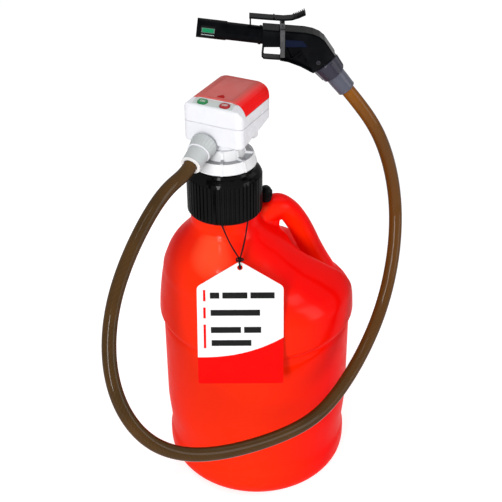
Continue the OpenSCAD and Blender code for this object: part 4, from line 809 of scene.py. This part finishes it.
def dressParts():
    cover("glossyWhite", (0.82, 0.825, 0.865), 0.28, "lower_housing", "upper_housing", "intake_tube",
          "strainer", "impeller", "outlet_ring", drift=0.004, grain=300, depth=0.000003, edge=0.0016,
          coat=0.03, specular=0.2)
    dress(shadedShelfWhite(), "cap_nut")
    dress(coverRed(), "battery_cover", "cover_latch")
    # the plate wears the same painted reflection and shade as the cover's flat top
    cover("paintedVeilRed", (0.69, 0.130, 0.115), 0.5, "cover_plate", drift=0.05, grain=1400, depth=0.00001,
          edge=0.0004, specular=0.25)
    cover("labelSilver", (0.60, 0.66, 0.64), 0.35, "control_label", drift=0.03, grain=1500, depth=0.00001,
          edge=0.0003, specular=0.4)
    cover("buttonGreen", (0.01, 0.24, 0.07), 0.3, "on_button", edge=0.0008, coat=0.2, specular=0.3)
    cover("buttonRed", (0.42, 0.012, 0.016), 0.3, "off_button", edge=0.0008, coat=0.2, specular=0.3)
    ribbed = cover("adapterBlack", (0.0004, 0.0004, 0.0005), 0.15, "adapter_cap", drift=0.2, grain=300,
                   depth=0.000003, edge=0.0012, coat=0.03, specular=0.01)
    setPlain(ribbed.node_tree.nodes["Principled BSDF"], Coat_IOR=2.4, Coat_Roughness=0.1)
    cover("mattBlack", (0.003, 0.003, 0.0035), 0.45, "vent_cap", "vent_seat", "on_switch", "off_switch",
          "rim_hook", drift=0.2, grain=600, depth=0.00001, edge=0.0006, specular=0.07)
    cover("strapGrey", (0.045, 0.045, 0.048), 0.42, "clip_strap", drift=0.35, grain=700, depth=0.00002,
          edge=0.0005, flow=120, specular=0.3)
    cover("nozzleBlack", (0.0010, 0.0013, 0.0022), 0.2, "nozzle_front_shell", "nozzle_rear_shell", "spout",
          "spout_tip", "sensor_tube", "clip_lever", drift=0.25, grain=200, depth=0.000003, edge=0.0009,
          coat=0.02, specular=0.012, flow=40)
    cover("collarGrey", (0.028, 0.027, 0.042), 0.3, "hose_collar", "hose_barb", drift=0.12, grain=400,
          depth=0.000005, edge=0.0007, coat=0.04, specular=0.15)
    cover("sleeveGrey", (0.085, 0.088, 0.118), 0.3, "hose_sleeve", drift=0.12, grain=400, depth=0.000005,
          edge=0.0007, coat=0.05, specular=0.15)
    cover("windowBlue", (0.001, 0.004, 0.020), 0.12, "nozzle_window", edge=0.0008, coat=0.04, drift=0.2,
          specular=0.02)
    dress(spoutSticker(), "spout_label")
    dress(mouldedPlastic("outletGrey", **outletGrey)[0], "outlet_collar")
    dress(lippedSleeve(), "outlet_sleeve")
    cover("sealRubber", (0.02, 0.02, 0.02), 0.7, "adapter_gasket", "nut_washer", "shaft_seal", drift=0.2,
          grain=1500, depth=0.0001, edge=0.0003)
    cover("innerWhite", (0.7, 0.7, 0.7), 0.45, "battery_tray", "motor_cup", "shaft_guides", drift=0.04,
          grain=700, edge=0.0004)
    cover("boardGreen", (0.02, 0.14, 0.05), 0.4, "switch_board", drift=0.3, flow=300, edge=0.0002)
    cover("cellWrap", (0.5, 0.33, 0.06), 0.25, "battery_1", "battery_2", "battery_3", "battery_4", drift=0.05,
          edge=0.0005, coat=0.4)
    steel = brushedMetal("drawnSteel", (0.62, 0.62, 0.64), 0.3)
    dress(steel, "motor", "drive_shaft", "housing_screws", "cup_screws", "battery_contacts")
    dress(brushedMetal("blackenedSteel", (0.03, 0.03, 0.034), 0.4), "clip_pin", "nozzle_screw")
    dress(brushedMetal("turnedBrass", (0.75, 0.55, 0.25), 0.28, (12, 12, 1)), "shaft_coupling")


dressParts()
print("stage: finishes")


# words on the buttons and the arrow on the cover, in millimetres, in the control face's and the head's frames
lettering = {"size": 4.3, "raise": 0.15, "weight": 0.12, "height": 1.6, "colour": (0.62, 0.62, 0.58)}
words = {"ON": ("onWord", -15.25, "on_button", "button_green"),
         "OFF": ("offWord", 15.25, "off_button", "button_red")}
arrow = {"outline": ((-4.6, 0), (4.6, 0), (4.6, 3.4), (0, 8.4), (-4.6, 3.4)), "spot": (3.4, -12.6),
         "levels": (56.0, 56.35)}


def addWord(word, name, x, body, slot):
    text = bpy.data.curves.new(name, "FONT")
    text.body = word
    text.size = lettering["size"] * mm
    text.extrude = lettering["raise"] * mm
    text.offset = lettering["weight"] * mm
    text.align_x = "CENTER"
    text.align_y = "CENTER"
    holder = bpy.data.objects.new(name, text)
    bpy.context.scene.collection.objects.link(holder)
    bpy.context.view_layer.update()
    mesh = bpy.data.meshes.new_from_object(holder.evaluated_get(bpy.context.evaluated_depsgraph_get()))
    bpy.data.objects.remove(holder)
    piece = bpy.data.objects.new(name, mesh)
    bpy.context.scene.collection.objects.link(piece)
    place(piece, inSlope @ frameAt((x, 0, lettering["height"])))
    wear(piece, body, mouldedPlastic(name + "Ink", lettering["colour"], 0.5, edge=0.0)[0], slot)


def addArrow():
    # flat solid arrow on the battery cover
    outline, (left, low) = arrow["outline"], arrow["spot"]
    corners = [(x + left, y + low, z) for z in arrow["levels"] for x, y in outline]
    n = len(outline)
    ends = [list(range(n))[::-1], list(range(n, 2 * n))]
    sides = [[k, (k + 1) % n, (k + 1) % n + n, k + n] for k in range(n)]
    piece = addMesh("slideArrow", np.array(corners) * mm, ends + sides, smooth=False)
    place(piece, inHead)
    ink = mouldedPlastic("arrowRed", (0.50, 0.001, 0.001), 0.5, edge=0.0, specular=0.05)[0]
    wear(piece, "battery_cover", ink, "cover_red")


addArrow()
for word, (name, x, body, slot) in words.items():
    addWord(word, name, x, body, slot)
print("stage: words")


# pale studio: the floor and the world look white, and light the object less; metres and watts
studio = {"ambient": 0.30, "floorLift": 0.64, "floorColour": 0.8, "floorHalf": 12, "floorDrop": 0.0002}
lamps = {"keyLamp": {"spot": (-0.75, -2.3, 1.15), "target": (0, 0, 0.35), "size": (0.45, 1.2), "power": 41},
         "fillLamp": {"spot": (1.9, -0.7, 0.9), "target": (0, 0, 0.35), "size": (0.7, 1.4), "power": 13.5},
         "backLamp": {"spot": (1.0, 1.5, 2.4), "target": (0, 0, 0.4), "size": (1.5, 1.5), "power": 12},
         "stripLamp": {"spot": (-0.35, -0.85, 1.95), "target": (-0.04, -0.02, 0.38), "size": (0.05, 0.45),
                       "power": 3}}


def seenRays(tree):
    # 1 for rays from the camera, from a mirror or through glass
    path = addNode(tree, "LightPath")
    straight = calculate(tree, "MAXIMUM", path.outputs["Is Camera Ray"], path.outputs["Is Glossy Ray"])
    return calculate(tree, "MAXIMUM", straight, path.outputs["Is Transmission Ray"])


def addFloor():
    far = studio["floorHalf"]
    corners = [(-far, -far, 0), (far, -far, 0), (far, far, 0), (-far, far, 0)]
    floor = addMesh("studioFloor", corners, [[0, 1, 2, 3]], smooth=False)
    place(floor, Matrix.Translation((0, 0, -studio["floorDrop"])))
    material = bpy.data.materials.new("paleFloor")
    material.use_nodes = True
    tree = material.node_tree
    tree.nodes.clear()
    level = studio["floorColour"]
    diffuse = addNode(tree, "BsdfDiffuse", {"Color": (level, level, level, 1)}).outputs["BSDF"]
    white = (1, 1, 1, 1)
    glow = addNode(tree, "Emission", {"Color": white, "Strength": studio["floorLift"]}).outputs["Emission"]
    lifted = addNode(tree, "AddShader", {0: diffuse, 1: glow}).outputs["Shader"]
    chosen = addNode(tree, "MixShader", {0: seenRays(tree), 1: diffuse, 2: lifted}).outputs["Shader"]
    addNode(tree, "OutputMaterial", {"Surface": chosen})
    floor.data.materials.append(material)


def addWorld():
    world = bpy.data.worlds.new("studioWorld")
    world.use_nodes = True
    bpy.context.scene.world = world
    tree = world.node_tree
    tree.nodes.clear()
    white = (1, 1, 1, 1)
    lit = addNode(tree, "Background", {"Color": white, "Strength": studio["ambient"]}).outputs["Background"]
    seen = addNode(tree, "Background", {"Color": white, "Strength": 1.0}).outputs["Background"]
    chosen = addNode(tree, "MixShader", {0: seenRays(tree), 1: lit, 2: seen}).outputs["Shader"]
    addNode(tree, "OutputWorld", {"Surface": chosen})


def addLamp(name, spot, target, size, power):
    data = bpy.data.lights.new(name, "AREA")
    data.shape = "RECTANGLE"
    data.size, data.size_y = size
    data.energy = power
    lamp = bpy.data.objects.new(name, data)
    way = Vector(target) - Vector(spot)
    lamp.matrix_world = Matrix.Translation(spot) @ way.to_track_quat("-Z", "Y").to_matrix().to_4x4()
    bpy.context.scene.collection.objects.link(lamp)


addFloor()
addWorld()
for name, settings in lamps.items():
    addLamp(name, **settings)
bpy.context.scene.view_settings.view_transform = "Standard"
print("stage: studio")
